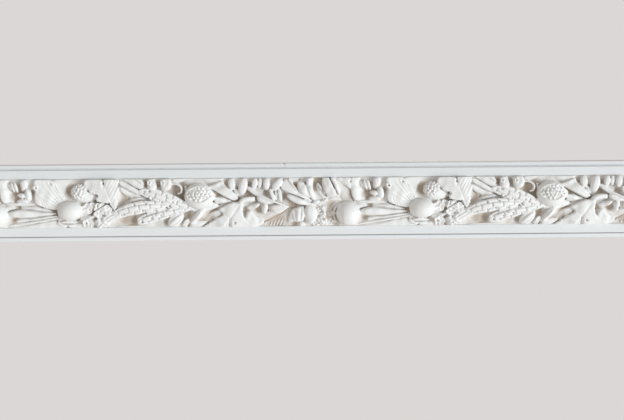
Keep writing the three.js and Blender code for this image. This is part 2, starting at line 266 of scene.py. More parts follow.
def raise_ball(detail: int, shape: Callable[[Vector], Place]) -> Solid:
    """Closed ball shaped point by point.

    Args:
        detail: Cells from pole to pole.
        shape: Gives the place of each unit direction.

    Returns:
        The ball.
    """
    bm = bmesh.new()
    bmesh.ops.create_uvsphere(bm, u_segments=2 * detail, v_segments=detail, radius=1.0)
    for vert in bm.verts:
        vert.co = shape(vert.co.copy())
    return bm


def bead(u: float, v: float, w: float, radius: float, squash: float = 1.0) -> Solid:
    """Small round bead.

    Args:
        u: Place along the bed.
        v: Place up the bed.
        w: Height of the bead's centre.
        radius: Radius across.
        squash: Height as a share of the radius.

    Returns:
        The bead.
    """
    bm = bmesh.new()
    bmesh.ops.create_icosphere(bm, subdivisions=2, radius=radius)
    bmesh.ops.scale(bm, vec=(1, 1, squash), verts=bm.verts)
    bmesh.ops.translate(bm, vec=(u, v, w), verts=bm.verts)
    return bm


class Motif:
    """One carved form of the pattern."""

    def carve(self) -> List[Solid]:
        """Closed meshes of the form, in the pattern's own frame."""
        raise NotImplementedError


@dataclass
class Blade(Motif):
    """Narrow leaf or petal whose edges drop on both sides of its middle line."""

    base: Point
    tip: Point
    width: float
    rise: Rise
    fold: float = 2.0
    belly: float = 0.5
    outline: Outline = Outline.LEAF
    crown: float = 2.2
    undercut: float = 0.78

    def breadth(self, s: float) -> float:
        """Share of the full width at s."""
        least, power = self.outline.value
        share = s ** (math.log(0.5) / math.log(self.belly))
        arch = max(0.0, math.sin(math.pi * min(1.0, share)))
        if self.outline is Outline.PETAL and share < 0.5:
            return max(least, PETAL_FOOT + (1 - PETAL_FOOT) * arch)
        return max(least, arch ** power)

    def top(self, s: float, t: float) -> Place:
        """Surface of the blade."""
        half = self.width / 2 * self.breadth(s)
        u, v = along(self.base, self.tip, 0.0, s, t * half)
        return (u, v, through(self.rise, s) - self.fold * abs(t) ** self.crown)

    def carve(self) -> List[Solid]:
        """The blade as one slab."""
        steps = max(16, int(math.dist(self.base, self.tip)))
        return [raise_strip(steps, max(10, int(self.width)), self.top, self.undercut)]


@dataclass
class CutLeaf(Motif):
    """Leaf or petal of any outline, modelled through given heights, with a rounded rim, veins and cuts."""

    outline: Sequence[Point]
    heights: Sequence[Place]
    lines: Sequence[Line] = ()
    drop: float = 2.5
    rim: float = 3.0
    line_width: float = 0.9
    wave: float = 0.4
    undercut: float = 0.92
    rounding: int = 2
    cell: float = 1.2
    spine: Optional[Line] = None
    veins: Veins = Veins.BRANCHED
    vein_pitch: float = 5.0
    vein_width: float = 0.75
    serration: float = 0.0
    tooth: float = 5.5
    midrib_depth: float = 1.4
    midrib_width: float = 1.3
    blend: float = 24.0
    blend_power: float = 1.5

    def rounded(self) -> List[Point]:
        """The outline with its corners cut, so that it bends smoothly."""
        points = list(self.outline)
        for _ in range(self.rounding):
            points = [
                (first[0] + (second[0] - first[0]) * share, first[1] + (second[1] - first[1]) * share)
                for first, second in sides_of(points)
                for share in CORNER_CUTS
            ]
        return points

    def serrated(self, points: Sequence[Point]) -> List[Point]:
        """Cuts small saw teeth into an outline.

        Args:
            points: The corners of the outline.

        Returns:
            The corners of the toothed outline.
        """
        sides = sides_of(points)
        turning = sum(first[0] * second[1] - second[0] * first[1] for first, second in sides)
        reach = math.copysign(self.serration, turning)
        toothed = []
        walked = 0.0
        for first, second in sides:
            length = math.dist(first, second)
            steps = max(1, round(4 * length / self.tooth))
            du = (second[0] - first[0]) / length
            dv = (second[1] - first[1]) / length
            for step in range(steps):
                gone = length * step / steps
                out = reach * ((walked + gone) / self.tooth % 1.0 - 0.5)
                toothed.append((first[0] + du * gone + dv * out, first[1] + dv * gone - du * out))
            walked += length
        return toothed

    def vein(self, u: float, v: float) -> float:
        """Depth of the veins at a point.

        Args:
            u: Place along the bed.
            v: Place up the bed.

        Returns:
            The depth, 0 where the leaf has no spine.
        """
        if self.spine is None:
            return 0.0
        u0, v0, u1, v1, depth = self.spine
        length = math.hypot(u1 - u0, v1 - v0)
        s = ((u - u0) * (u1 - u0) + (v - v0) * (v1 - v0)) / length
        t = abs((u - u0) * (v1 - v0) - (v - v0) * (u1 - u0)) / length
        lengthways, sideways = self.veins.value
        steps = (lengthways * s + sideways * t) / self.vein_pitch
        side = bump(abs(steps - round(steps)) * self.vein_pitch, self.vein_width)
        return depth * max(side, self.midrib_depth * bump(t, self.midrib_width * self.vein_width))

    def height(self, u: float, v: float, inside: float) -> float:
        """Height of the top at a point.

        Args:
            u: Place along the bed.
            v: Place up the bed.
            inside: Distance from the outline.

        Returns:
            The height.
        """
        total = 0.0
        weight = 0.0
        for at_u, at_v, rise in self.heights:
            pull = 1 / (self.blend + (u - at_u) ** 2 + (v - at_v) ** 2) ** self.blend_power
            total += pull * rise
            weight += pull
        w = total / weight - self.drop * max(0.0, 1 - inside / self.rim) ** 2
        w += ripple(u, v, self.wave, LEAF_WAVES)
        for u0, v0, u1, v1, depth in self.lines:
            w -= depth * bump(distance_to((u, v), (u0, v0), (u1, v1)), self.line_width)
        return w - self.vein(u, v) * min(1.0, inside / 2)

    def carve(self) -> List[Solid]:
        """The leaf as one slab: its outline is filled, cut into cells and pulled up."""
        corners = self.rounded()
        if self.serration:
            corners = self.serrated(corners)
        bm = bmesh.new()
        bm.faces.new([bm.verts.new((u, v, 0.0)) for u, v in corners])
        bmesh.ops.triangulate(bm, faces=list(bm.faces))
        for axis in (0, 1):
            normal = (1 - axis, axis, 0)
            start = min(corner[axis] for corner in corners)
            end = max(corner[axis] for corner in corners)
            for index in range(1, int((end - start) / self.cell) + 1):
                place = start + index * self.cell
                sliced(bm, [place * n for n in normal], normal, WELD)
        foot, crown = thickened(bm)
        centre = (sum(u for u, _ in corners) / len(corners), sum(v for _, v in corners) / len(corners))
        for vert in foot:
            vert.co = drawn_in(vert.co, centre, self.undercut)
        sides = sides_of(corners)
        for vert in crown:
            spot = (vert.co.x, vert.co.y)
            inside = min(distance_to(spot, first, second) for first, second in sides)
            vert.co.z = self.height(spot[0], spot[1], inside)
        return [bm]


@dataclass
class Stalk(Motif):
    """Round-backed stalk along a smooth line, plain or fluted."""

    points: Sequence[Point]
    width: float
    rise: Rise
    taper: float = 0.0
    flutes: int = 0
    flute_depth: float = 0.9
    roundness: float = 0.8
    undercut: float = 0.7

    def spot(self, s: float) -> Tuple[Vector, Vector]:
        """Point and direction at s on the smooth line through the points."""
        last = len(self.points) - 1
        index = min(last - 1, int(s * last))
        f = s * last - index
        ends = [self.points[max(0, min(last, index + step))] for step in (-1, 0, 1, 2)]
        a, b, c, d = [Vector(end) for end in ends]
        bend = 2 * a - 5 * b + 4 * c - d
        twist = 3 * b - a - 3 * c + d
        place = 0.5 * (2 * b + (c - a) * f + bend * f * f + twist * f ** 3)
        heading = 0.5 * ((c - a) + 2 * bend * f + 3 * twist * f * f)
        return place, heading.normalized()

    def top(self, s: float, t: float) -> Place:
        """Surface of the stalk."""
        place, heading = self.spot(s)
        half = self.width / 2 * (1 - self.taper * s)
        offset = half * math.sin(t * math.pi / 2)
        flute = self.flute_depth * math.cos(t * self.flutes * math.pi) if self.flutes else 0.0
        w = through(self.rise, s) - half * self.roundness * (1 - math.cos(t * math.pi / 2)) + flute
        return (place.x - heading.y * offset, place.y + heading.x * offset, w)

    def carve(self) -> List[Solid]:
        """The stalk as one slab."""
        return [raise_strip(14 * len(self.points), max(12, 6 * self.flutes), self.top, self.undercut)]


@dataclass
class Ear(Motif):
    """Spindle of staggered flat kernels, each lapped a little under the one before it."""

    base: Point
    tip: Point
    width: float
    bow: float
    rise: Rise
    kernels: float
    rows: int
    fullest: float = 0.85
    relief: float = 3.0
    lap: float = 0.8
    sunk: float = 0.8
    least: float = 0.16
    roundness: float = 0.7
    wrap: float = 2.3
    undercut: float = 0.75

    def top(self, s: float, t: float) -> Place:
        """Surface of the ear."""
        half = self.width / 2 * max(self.least, math.sin(math.pi * min(1.0, s ** self.fullest)) ** 0.7)
        turn = t * math.pi / self.wrap
        across = (t + 1) / 2 * self.rows
        row = min(self.rows - 1, int(across))
        b = (across - row) * 2 - 1
        column = s * self.kernels + 0.5 * (row % 2)
        a = (column - int(column)) * 2 - 1
        brick = (1 - abs(a) ** 11) * (1 - abs(b) ** 5)
        relief = self.relief * brick - self.lap * a + 0.5 * self.lap * b
        u, v = along(self.base, self.tip, self.bow, s, (half + 0.4 * relief) * math.sin(turn))
        w = through(self.rise, s) - half * self.roundness * (1 - math.cos(turn)) + relief - self.sunk
        return (u, v, w)

    def carve(self) -> List[Solid]:
        """The ear as one slab."""
        return [raise_strip(150, 22 * self.rows, self.top, self.undercut)]


@dataclass
class Pod(Motif):
    """Nut, bud or hip: a plump spindle with grooves along it."""

    base: Point
    tip: Point
    width: float
    rise: float
    grooves: int = 0
    depth: float = 0.8
    blunt: float = 0.55

    def carve(self) -> List[Solid]:
        """The pod as one ball drawn out along its line."""
        along_uv = Vector((self.tip[0] - self.base[0], self.tip[1] - self.base[1], 0))
        half_length = along_uv.length / 2
        forward = along_uv.normalized()
        left = Vector((-forward.y, forward.x, 0))
        centre = Vector(((self.base[0] + self.tip[0]) / 2, (self.base[1] + self.tip[1]) / 2, 0))
        deep = min(self.width / 2, self.rise)

        def shape(point: Vector) -> Place:
            """Point of the pod in one direction, with the poles on its ends."""
            ring = math.hypot(point.x, point.y) ** (2 * self.blunt)
            angle = math.atan2(point.y, point.x)
            groove = 0.0
            if self.grooves:
                groove = self.depth * abs(math.cos(angle * self.grooves)) ** 5 * ring
            reach = self.width / 2 * ring - groove
            height = deep * ring - groove
            place = centre + forward * (half_length * point.z) + left * (reach * math.cos(angle))
            return (place.x, place.y, self.rise - deep + height * math.sin(angle))

        return [raise_ball(32, shape)]


@dataclass
class RoundFruit(Motif):
    """Smooth fruit, nearly a ball, with a cleft down its left side where a crease is given."""

    at: Point
    radii: Point
    rise: float
    depth: float
    crease: float = 0.0

    def carve(self) -> List[Solid]:
        """The fruit as one ball."""

        def shape(point: Vector) -> Place:
            """Point of the fruit in one direction."""
            cleft = bump(point.x + 0.62 + 0.12 * point.y, 0.1)
            fold = 0.5 * self.crease * bump(point.x + 0.86, 0.07)
            sink = self.crease * cleft * max(0.0, 0.6 - 0.4 * point.y) + fold
            u = self.at[0] + self.radii[0] * point.x * (1 - 0.02 * sink)
            v = self.at[1] + self.radii[1] * point.y
            return (u, v, self.rise - self.depth + self.depth * point.z - sink)

        return [raise_ball(56, shape)]


@dataclass
class SplitFruit(Motif):
    """Pomegranate with a lens-shaped opening that shows its seeds."""

    at: Point = (363.0, 10.5)
    radii: Point = (23.5, 20.5)
    rise: float = 28.0
    depth: float = 20.0
    mouth: Point = (364.0, 14.0)
    mouth_radii: Point = (19.5, 12.5)
    sunk: float = 4.4
    lip: float = 0.9
    lip_width: float = 0.06
    steepness: float = 8.0
    seed: float = 2.35
    pitch: float = 5.4
    row_share: float = 0.86
    jitter: float = 0.9
    seed_lift: Point = (0.1, 0.7)
    seed_margin: float = 0.13
    chance: int = 5

    def inside(self, u: float, v: float) -> float:
        """How far inside the opening a point is: 1 at its centre, 0 on its lip."""
        x = (u - self.mouth[0]) / self.mouth_radii[0]
        y = (v - self.mouth[1]) / self.mouth_radii[1]
        return 1 - math.hypot(x, y * (1 + 0.5 * max(0.0, x) ** 2))

    def skin(self, u: float, v: float) -> float:
        """Height of the fruit's front at a point."""
        x = (u - self.at[0]) / self.radii[0]
        y = (v - self.at[1]) / self.radii[1]
        return self.rise - self.depth + self.depth * math.sqrt(max(0.0, 1 - x * x - y * y))

    def carve(self) -> List[Solid]:
        """The fruit with its lip, and the seeds in uneven rows."""

        def shape(point: Vector) -> Place:
            """Point of the fruit in one direction, sunk inside the opening."""
            u = self.at[0] + self.radii[0] * point.x
            v = self.at[1] + self.radii[1] * point.y
            w = self.rise - self.depth + self.depth * point.z
            if point.z > 0:
                inside = self.inside(u, v)
                w -= self.sunk * min(1.0, max(0.0, inside * self.steepness))
                w += self.lip * bump(inside + self.lip_width, self.lip_width)
            return (u, v, w)

        chance = random.Random(self.chance)
        parts = [raise_ball(96, shape)]
        rows = int(self.mouth_radii[0] / self.pitch) + 2
        for row in range(-rows, rows + 1):
            for column in range(-rows, rows + 1):
                across = (column + 0.5 * (row % 2)) * self.pitch
                u = self.mouth[0] + across + self.jitter * chance.uniform(-1, 1)
                up = row * self.pitch * self.row_share
                v = self.mouth[1] + up + self.jitter * chance.uniform(-1, 1)
                lift = chance.uniform(*self.seed_lift)
                if self.inside(u, v) < self.seed_margin:
                    continue
                w = self.skin(u, v) - self.sunk + lift * self.seed
                parts.append(bead(u, v, min(w, self.rise - self.seed), self.seed))
        return parts


@dataclass
class Berry(Motif):
    """Blackberry: a ball of drupelets that sits in a smooth cup with a pointed end."""

    at: Point = (175.0, 18.0)
    radii: Point = (13.5, 11.8)
    rise: float = 19.0
    depth: float = 13.0
    drupelet: float = 2.3
    count: int = 46
    cup_at: Point = (181.0, 10.5)
    cup_radii: Point = (18.0, 9.5)
    cup_rise: float = 13.5
    beak: float = 8.0
    inset: float = 2.4
    inset_depth: float = 2.8

    def carve(self) -> List[Solid]:
        """The cup, the ball and the drupelets spread evenly over it."""

        def cup(point: Vector) -> Place:
            """Point of the cup in one direction, drawn out to the right."""
            beak = self.beak * max(0.0, point.x) ** 5 * (1 - abs(point.y))
            u = self.cup_at[0] + self.cup_radii[0] * point.x + beak
            v = self.cup_at[1] + self.cup_radii[1] * point.y + 0.2 * beak
            return (u, v, self.cup_rise * (0.3 + 0.7 * point.z) - 0.2 * beak)

        def ball(point: Vector) -> Place:
            """Point of the ball under the drupelets."""
            u = self.at[0] + (self.radii[0] - self.inset) * point.x
            v = self.at[1] + (self.radii[1] - self.inset) * point.y
            return (u, v, self.rise - self.depth + (self.depth - self.inset_depth) * point.z)

        parts = [raise_ball(40, cup), raise_ball(40, ball)]
        golden = math.pi * (3 - math.sqrt(5))
        for index in range(self.count):
            lift = 1 - (index + 0.5) / self.count
            ring = math.sqrt(1 - lift * lift)
            u = self.at[0] + self.radii[0] * ring * math.cos(index * golden)
            v = self.at[1] + self.radii[1] * ring * math.sin(index * golden)
            height = self.rise - self.depth + (self.depth - self.drupelet * 0.6) * lift
            parts.append(bead(u, v, height, self.drupelet))
        return parts


@dataclass
class Blossom(Motif):
    """Open flower with small cupped petals about a heart."""

    at: Point
    radius: float
    petals: int
    rise: float
    turn: float = 0.0
    heart: float = 0.22
    heart_sunk: float = 2.4
    cup: float = 2.2
    fullness: float = 2.4
    unevenness: float = 1.2
    lip: float = 1.4
    dip: float = 2.4
    undercut: float = 0.6

    def petal(self, index: int) -> Solid:
        """One petal: a disc, hollow in the middle and turned down toward the heart.

        Args:
            index: Number of the petal.

        Returns:
            The petal.
        """
        size = self.radius * self.fullness / self.petals
        angle = math.radians(self.turn) + 2 * math.pi * index / self.petals
        centre_u = self.at[0] + (self.radius - size) * math.cos(angle)
        centre_v = self.at[1] + (self.radius - size) * math.sin(angle)
        lift = self.rise + self.unevenness * math.sin(2.3 * index + self.turn)

        def top(f: float, way: float) -> Place:
            """Surface of the petal."""
            u = centre_u + size * f * math.cos(way)
            v = centre_v + size * f * math.sin(way)
            inward = max(0.0, -f * math.cos(way - angle))
            return (u, v, lift - self.cup * (1 - f * f) - self.lip * f ** 8 - self.dip * inward)

        return raise_disc(24, 8, top, self.undercut)

    def carve(self) -> List[Solid]:
        """The petals, and the heart as a bead on a sunk floor."""
        heart = bead(self.at[0], self.at[1], self.rise - self.heart_sunk, self.radius * self.heart)
        return [self.petal(index) for index in range(self.petals)] + [heart]


@dataclass
class Crown(Motif):
    """Small toothed crown or ring with a hollow middle."""

    at: Point
    radii: Point
    rise: float
    hollow: float
    teeth: int = 0
    tooth: float = 0.15
    mouth: float = 0.5
    steepness: float = 16.0
    fall: float = 0.35
    rim: float = 0.25
    undercut: float = 0.75

    def carve(self) -> List[Solid]:
        """The crown as one disc."""

        def top(f: float, angle: float) -> Place:
            """Surface of the crown: a rim round a hollow."""
            scallop = 1 + self.tooth * math.cos(self.teeth * angle) * f if self.teeth else 1.0
            dip = self.hollow * (1 - 1 / (1 + math.exp(-(f - self.mouth) * self.steepness)))
            fall = self.fall * self.hollow * max(0.0, (f - 1 + self.rim) / self.rim) ** 2
            u = self.at[0] + self.radii[0] * f * scallop * math.cos(angle)
            v = self.at[1] + self.radii[1] * f * scallop * math.sin(angle)
            return (u, v, self.rise - dip - fall)

        return [raise_disc(48, 16, top, self.undercut)]


@dataclass
class Underlay(Motif):
    """Low foliage that covers the ground between the motifs, with deep hollows left in it."""

    rise: float = 3.9
    wave: float = 0.7
    overlap: float = 8.0
    half_height: float = 40.0
    lowest: float = -0.6
    hollows: Sequence[Dip] = (
        (16, -20, 10, 4), (17, -5, 6, 3), (20, -33, 6, 3), (40, 10, 9, 3), (72, 18, 10, 6), (98, 18, 4, 5),
        (79, 25, 4, 6), (67, 12, 6, 5), (75, -6, 4, 4), (68, -25, 6, 4), (136, -12, 6, 5), (158, 20, 9, 4),
        (198, 8, 6, 5), (257, -28, 9, 4), (278, 30, 5, 5), (299, 29, 5, 5), (331, 18, 14, 6),
        (340, 0, 8, 5), (341, -20, 8, 5), (310, -30, 4, 4), (393, 13, 5, 4), (385, -16, 10, 3),
        (407, 30, 5, 4), (424, 3, 4, 5), (423, 19, 5, 4), (436, -12, 4, 5), (440, 12, 6, 5), (451, 4, 4, 5),
        (457, -11, 6, 5), (443, 28, 4, 4), (460, 28, 4, 3), (468, 14, 5, 4), (497, 10, 5, 4),
        (510, -5, 8, 5), (515, 25, 5, 5), (513, -35, 5, 5), (551, 32, 9, 6), (546, 22, 5, 4),
        (474, -33, 6, 3), (486, -28, 8, 3), (499, -22, 8, 3), (490, -36, 7, 3), (240, -27, 7, 3),
        (251, -27, 8, 3), (244, 6, 6, 3), (240, -2, 5, 2), (243, 13, 5, 2), (388, -17, 8, 2),
        (377, -25, 8, 2), (368, -33, 7, 3),
    )

    def top(self, s: float, t: float) -> Place:
        """Surface of the foliage: soft ripples, sunk at each hollow."""
        u = -self.overlap + (REPEAT + 2 * self.overlap) * s
        v = self.half_height * t
        w = self.rise + ripple(u, v, self.wave, GROUND_WAVES)
        for at_u, at_v, reach, depth in self.hollows:
            w -= depth * bump(math.hypot(u - at_u, v - at_v), reach)
        return (u, v, max(w, self.lowest))

    def carve(self) -> List[Solid]:
        """The foliage as one slab."""
        return [raise_strip(320, 48, self.top, 1.0)]


@dataclass
class Tooling:
    """Drilled holes and cut lines that sharpen the fused skin, and the slight unevenness of its surface.

    A hole gives its place, radius and depth, and a cut its two ends and depth.
    """

    holes: Sequence[Dip] = (
        (7, 10.5, 1.5, 5), (45, 32, 1.6, 4), (79, 25, 1.6, 6), (106.5, 25.5, 1.2, 5), (128, 31.5, 1.4, 4),
        (137.5, -28, 1.5, 6), (153, -36.5, 1.7, 6), (169, -26, 1.7, 7), (188, 20.5, 1.5, 7),
        (201.5, 12.5, 1.8, 8), (220.5, 0, 1.7, 7), (192, -17, 1.6, 6), (197, -27, 2.3, 7),
        (196, -37, 1.8, 6), (183, -31, 1.4, 5), (207, -25, 1.6, 6), (251, 7, 1.7, 6), (263, -28, 2.0, 5),
        (261, -2, 1.5, 5), (279, 0, 1.6, 5), (274, -11, 1.6, 5), (291, -10, 1.4, 4), (284, 19, 1.5, 5),
        (289, 7, 1.6, 5), (304, 2, 1.5, 5), (311, 13, 1.4, 4), (321, 2, 1.3, 4), (287, -24, 1.6, 5),
        (293, -17, 1.6, 5), (302, -19.5, 1.5, 5), (310, -11, 1.4, 4), (272, -30, 1.4, 5), (331, -5, 1.3, 3),
        (240, -19, 1.4, 5), (345, -36, 2.0, 6), (376, -33, 1.3, 3), (384, -28, 1.5, 3), (419, -32, 1.5, 6),
        (424, 3, 2.0, 6), (471, -13, 1.5, 7), (491, 23.5, 1.4, 5), (497, 13, 1.5, 5), (511, -35.5, 2.4, 5),
        (530, 29, 1.4, 5), (562, 10, 1.5, 5), (521, 35, 1.3, 4),
    )
    cuts: Sequence[Line] = (
        (465, -31.5, 490, -19.5, 5), (490, -19.5, 504, -9, 5), (208, 2.5, 203, 0, 4), (203, 0, 202, -5, 4),
        (212, -3, 200, -10, 4), (200, -10, 193, -15, 4), (221, 0, 227, -10.5, 5), (62, -11.5, 78, -8, 4),
        (104, -1.5, 120, -7.5, 4), (120, -7.5, 136, -12, 4), (381, 22, 400, 11.5, 3),
        (400, 11.5, 416, 2.5, 3), (384, 1, 395, -3, 4), (503, 5.5, 515, -2, 4), (12, 38, 17, 29.5, 4),
        (17, 29.5, 25, 12.5, 4), (50, 1, 46, 12, 3), (46, 12, 45.5, 18, 3), (272, 11.5, 300, 0.5, 2),
        (300, 0.5, 318, -5, 2), (272, -23, 300, -13, 2.5), (300, -13, 318, -7, 2.5),
        (435, -10, 435, -19, 3), (503, 14.3, 528, 5, 1.2), (74.8, 13, 76.4, 9.2, 3), (76.4, 9.2, 73, 6, 3),
        (133, 8, 142, -1, 1.2), (136, 10, 144.5, 1, 1.2), (139, 12, 147, 3, 1.2),
    )
    cut_width: float = 0.85
    dot: float = 0.01
    reach: float = 3.0
    floor: float = 0.6
    strip: float = 8.0
    unevenness: float = 0.16
    unevenness_size: float = 5.0

    def sorted_tools(self) -> Dict[int, List[Tuple[float, ...]]]:
        """The tools as lines with width and depth, sorted into strips across the bed."""
        strips: Dict[int, List[Tuple[float, ...]]] = {}
        marks = [(u, v, u + self.dot, v, radius, depth) for u, v, radius, depth in self.holes]
        marks += [(u0, v0, u1, v1, self.cut_width, depth) for u0, v0, u1, v1, depth in self.cuts]
        for mark in marks:
            low = min(mark[0], mark[2]) - self.reach * mark[4]
            high = max(mark[0], mark[2]) + self.reach * mark[4]
            for index in range(math.floor(low / self.strip), math.floor(high / self.strip) + 1):
                strips.setdefault(index, []).append(mark)
        return strips

    def work(self, mesh: bpy.types.Mesh) -> None:
        """Sinks the holes and lines into a skin and makes it slightly uneven.

        Args:
            mesh: The skin, in millimetres, changed in place.
        """
        strips = self.sorted_tools()
        for vert in mesh.vertices:
            u, v, w = vert.co
            if w < self.floor:
                continue
            sink = 0.0
            for u0, v0, u1, v1, width, depth in strips.get(math.floor(u / self.strip), ()):
                distance = distance_to((u, v), (u0, v0), (u1, v1))
                if distance < self.reach * width:
                    sink = max(sink, depth * bump(distance, width))
            worn = self.unevenness * noise.noise(vert.co / self.unevenness_size)
            vert.co.z = max(self.floor, w - sink + worn)


@dataclass
class Filler(Motif):
    """Rough lumps of plaster down a joint."""

    at: float
    count: int = 92
    spread: float = 6.5
    top: float = 3.0
    bottom: float = -37.5
    rise: float = 11.0
    seed: int = 11
    smallest: float = 1.0
    growth: float = 1.5
    foot: float = 0.9
    foot_stretch: float = 1.6

    def carve(self) -> List[Solid]:
        """The lumps as beads of uneven size, each on a broader foot."""
        chance = random.Random(self.seed)
        parts = []
        for _ in range(self.count):
            v = self.bottom + (self.top - self.bottom) * chance.random()
            u = self.at + self.spread * (chance.random() * 2 - 1)
            radius = self.smallest + self.growth * chance.random() ** 2
            lift = self.rise * (0.45 + 0.55 * chance.random())
            parts.append(bead(u, v, lift - radius, radius))
            parts.append(bead(u, v, lift / 2 - radius, radius + self.foot, self.foot_stretch))
        return parts


def joint_leaf() -> List[Motif]:
    """Creased leaf, shaded leaves and cleft fruit right of the joint."""
    return [
        CutLeaf(
            (
                (1, 40), (11, 40), (15, 31), (19, 22), (24, 13), (20, 9), (14, 7.5), (8, 9), (5, 15),
                (2, 24), (0, 31),
            ),
            ((5, 30, 12), (10, 25, 15), (16, 18, 15.5), (9, 13, 12), (2, 35, 10)), drop=2.5, rim=4.0,
            spine=(4, 38, 17, 11, 0.4),
        ),
        CutLeaf(
            ((12.5, 40), (20, 40), (25, 29), (30, 18), (27, 12), (25, 13), (21, 21), (17, 30)),
            ((17, 33, 14), (22, 24, 14.5), (27, 16, 12)),
        ),
        CutLeaf(
            (
                (22, 36), (27, 31), (36, 26), (45, 19), (47, 10), (50, 2), (40, -2), (28, 4), (30, 17),
                (25, 28),
            ),
            ((28, 28, 5), (40, 18, 4.5), (35, 8, 3.5), (46, 6, 3)), spine=(25, 33, 47, 3, 0.5),
        ),
        CutLeaf(
            ((22, 40), (46, 40), (48, 30), (46.5, 20), (43, 21), (36, 27), (27, 33)),
            ((30, 36, 7), (45, 24, 9.5), (40, 33, 9)), spine=(24, 39, 47, 24, 0.5),
        ),
        CutLeaf(((2, 7), (10, 6), (20, 8), (27, 7), (33, 1), (20, 1.5), (8, 2)), ((5, 4, 5), (20, 5, 7))),
        RoundFruit((41.5, -18.5), (19.0, 19.2), 26, 20, crease=2.6),
        Stalk([(23, -1), (15, -10), (12.5, -20), (16, -30), (23, -37)], 4.0, (5, 2.2, 2.2)),
        Stalk([(29, -3), (21, -10), (18.5, -20), (21, -29), (28, -36)], 3.6, (8, 4.2, 3.6)),
        Filler(15, count=36, spread=6, top=-16, bottom=-38, rise=4.2, seed=4),
    ]


def trumpet_flower() -> List[Motif]:
    """Big open flower: a broad left petal, stamens in a dark throat and folded right petals."""
    left = (
        (46, 17), (44.5, 28), (45, 40), (61, 40), (63, 30), (66, 20), (71, 12), (71, 3), (62, 0), (52, 1),
        (48, 7),
    )
    tall = ((81, 37), (84, 40), (91, 40), (94, 32), (91.5, 24), (84, 19), (81, 23), (80.5, 30))
    outer = ((90, 25), (96, 23), (98.5, 14), (98, 6), (92, 3.5), (87, 8), (86, 15), (88, 21))
    tongue = ((74.5, 15.5), (80, 18), (87, 17), (89, 11), (83, 9), (77.5, 11.5))
    lower = ((72.5, 4.5), (79, 8.5), (88, 8.5), (93, 5), (89, 1.5), (78, 2))
    return [
        CutLeaf(
            left,
            (
                (48, 31, 9), (53, 20, 11), (55, 8, 10.5), (61, 27, 4.5), (66, 12, 0.5), (65, 3, 5),
                (48, 12, 9),
            ),
            spine=(67, 10, 47, 30, 0.35), veins=Veins.PARALLEL, vein_pitch=3.6,
        ),
        Pod((61.5, 34), (66.5, 21), 4.6, 8.5),
        Pod((66, 34.5), (71.5, 19), 5.0, 11.5),
        Pod((71.5, 35), (76.5, 18.5), 5.2, 13),
        Pod((69, 12.5), (74.5, 8), 7, 12.5),
        CutLeaf(tall, ((87, 32, 15.5), (84, 23, 11)), ((86, 36, 88, 27, 0.9),), drop=4.0, rim=5.0),
        CutLeaf(outer, ((94, 16, 16.5), (89, 10, 13), (95, 7, 13)), drop=4.0, rim=5.0),
        CutLeaf(tongue, ((78, 14.5, 13), (86, 13, 15)), drop=3.5, rim=3.5),
        CutLeaf(lower, ((77, 5, 12), (88, 5, 14)), drop=3.5, rim=3.5),
        CutLeaf(
            ((52, 2), (70, 2.5), (100, 0.5), (102, -2), (80, -3.2), (62, -3)), ((60, 0, 9), (90, -1, 8)),
        ),
    ]


def strap_leaves() -> List[Motif]:
    """Strap leaves that fan out to the left from under the round fruit."""
    middle = (
        (55.5, -19.5), (58, -14.5), (63, -11.5), (70, -9.5), (79, -8.5), (95, -10.5), (115, -13.5),
        (136, -14), (136, -17), (118, -18.5), (95, -21.5), (76, -21.2), (64, -20.5),
    )
    upper = (
        (78, -4.5), (95, -5), (104, -3.5), (115, -7), (130, -11), (136, -12.5), (120, -12.2), (98, -9),
        (80, -7.2),
    )
    second = (
        (77, -23.5), (95, -23.5), (115, -21), (137, -18.5), (138, -20.5), (118, -23.8), (95, -26.8),
        (74, -29.5), (70, -28),
    )
    third = (
        (60, -34), (72, -31.5), (95, -28.4), (118, -25.2), (138, -21.7), (138, -24.5), (118, -28),
        (95, -32), (70, -35.5), (58, -36.5),
    )
    lowest = (
        (50, -40), (58, -38), (70, -37), (95, -33.6), (118, -29.4), (134, -26.5), (141, -31), (150, -37),
        (150, -40),
    )
    return [
        CutLeaf(
            middle, ((60, -17, 12), (70, -14, 15.5), (85, -15, 15), (110, -16, 12), (135, -15, 9)),
            drop=3.0, spine=(57, -17, 136, -15.5, 0.4), veins=Veins.PARALLEL, vein_pitch=2.6,
        ),
        CutLeaf(upper, ((85, -6, 8.5), (110, -8, 10), (130, -11.5, 9)), drop=2.0, rim=2.0),
        CutLeaf(
            ((56, -3), (72, -4.5), (72, -8), (62, -10.5), (57, -14), (53, -9)), ((62, -7, 7),), drop=1.5,
        ),
        CutLeaf(second, ((80, -26, 9), (110, -23.5, 11), (135, -20, 9)), drop=2.0, rim=2.0),
        CutLeaf(third, ((65, -34, 7), (100, -29.5, 9.5), (135, -23.5, 8)), drop=2.0, rim=2.0),
        CutLeaf(
            lowest, ((60, -38, 7), (100, -36, 8.5), (130, -31, 7.5)), drop=2.0, rim=2.0,
            spine=(66, -38.5, 134, -30, 0.45), veins=Veins.PARALLEL, vein_pitch=3.0,
        ),
    ]


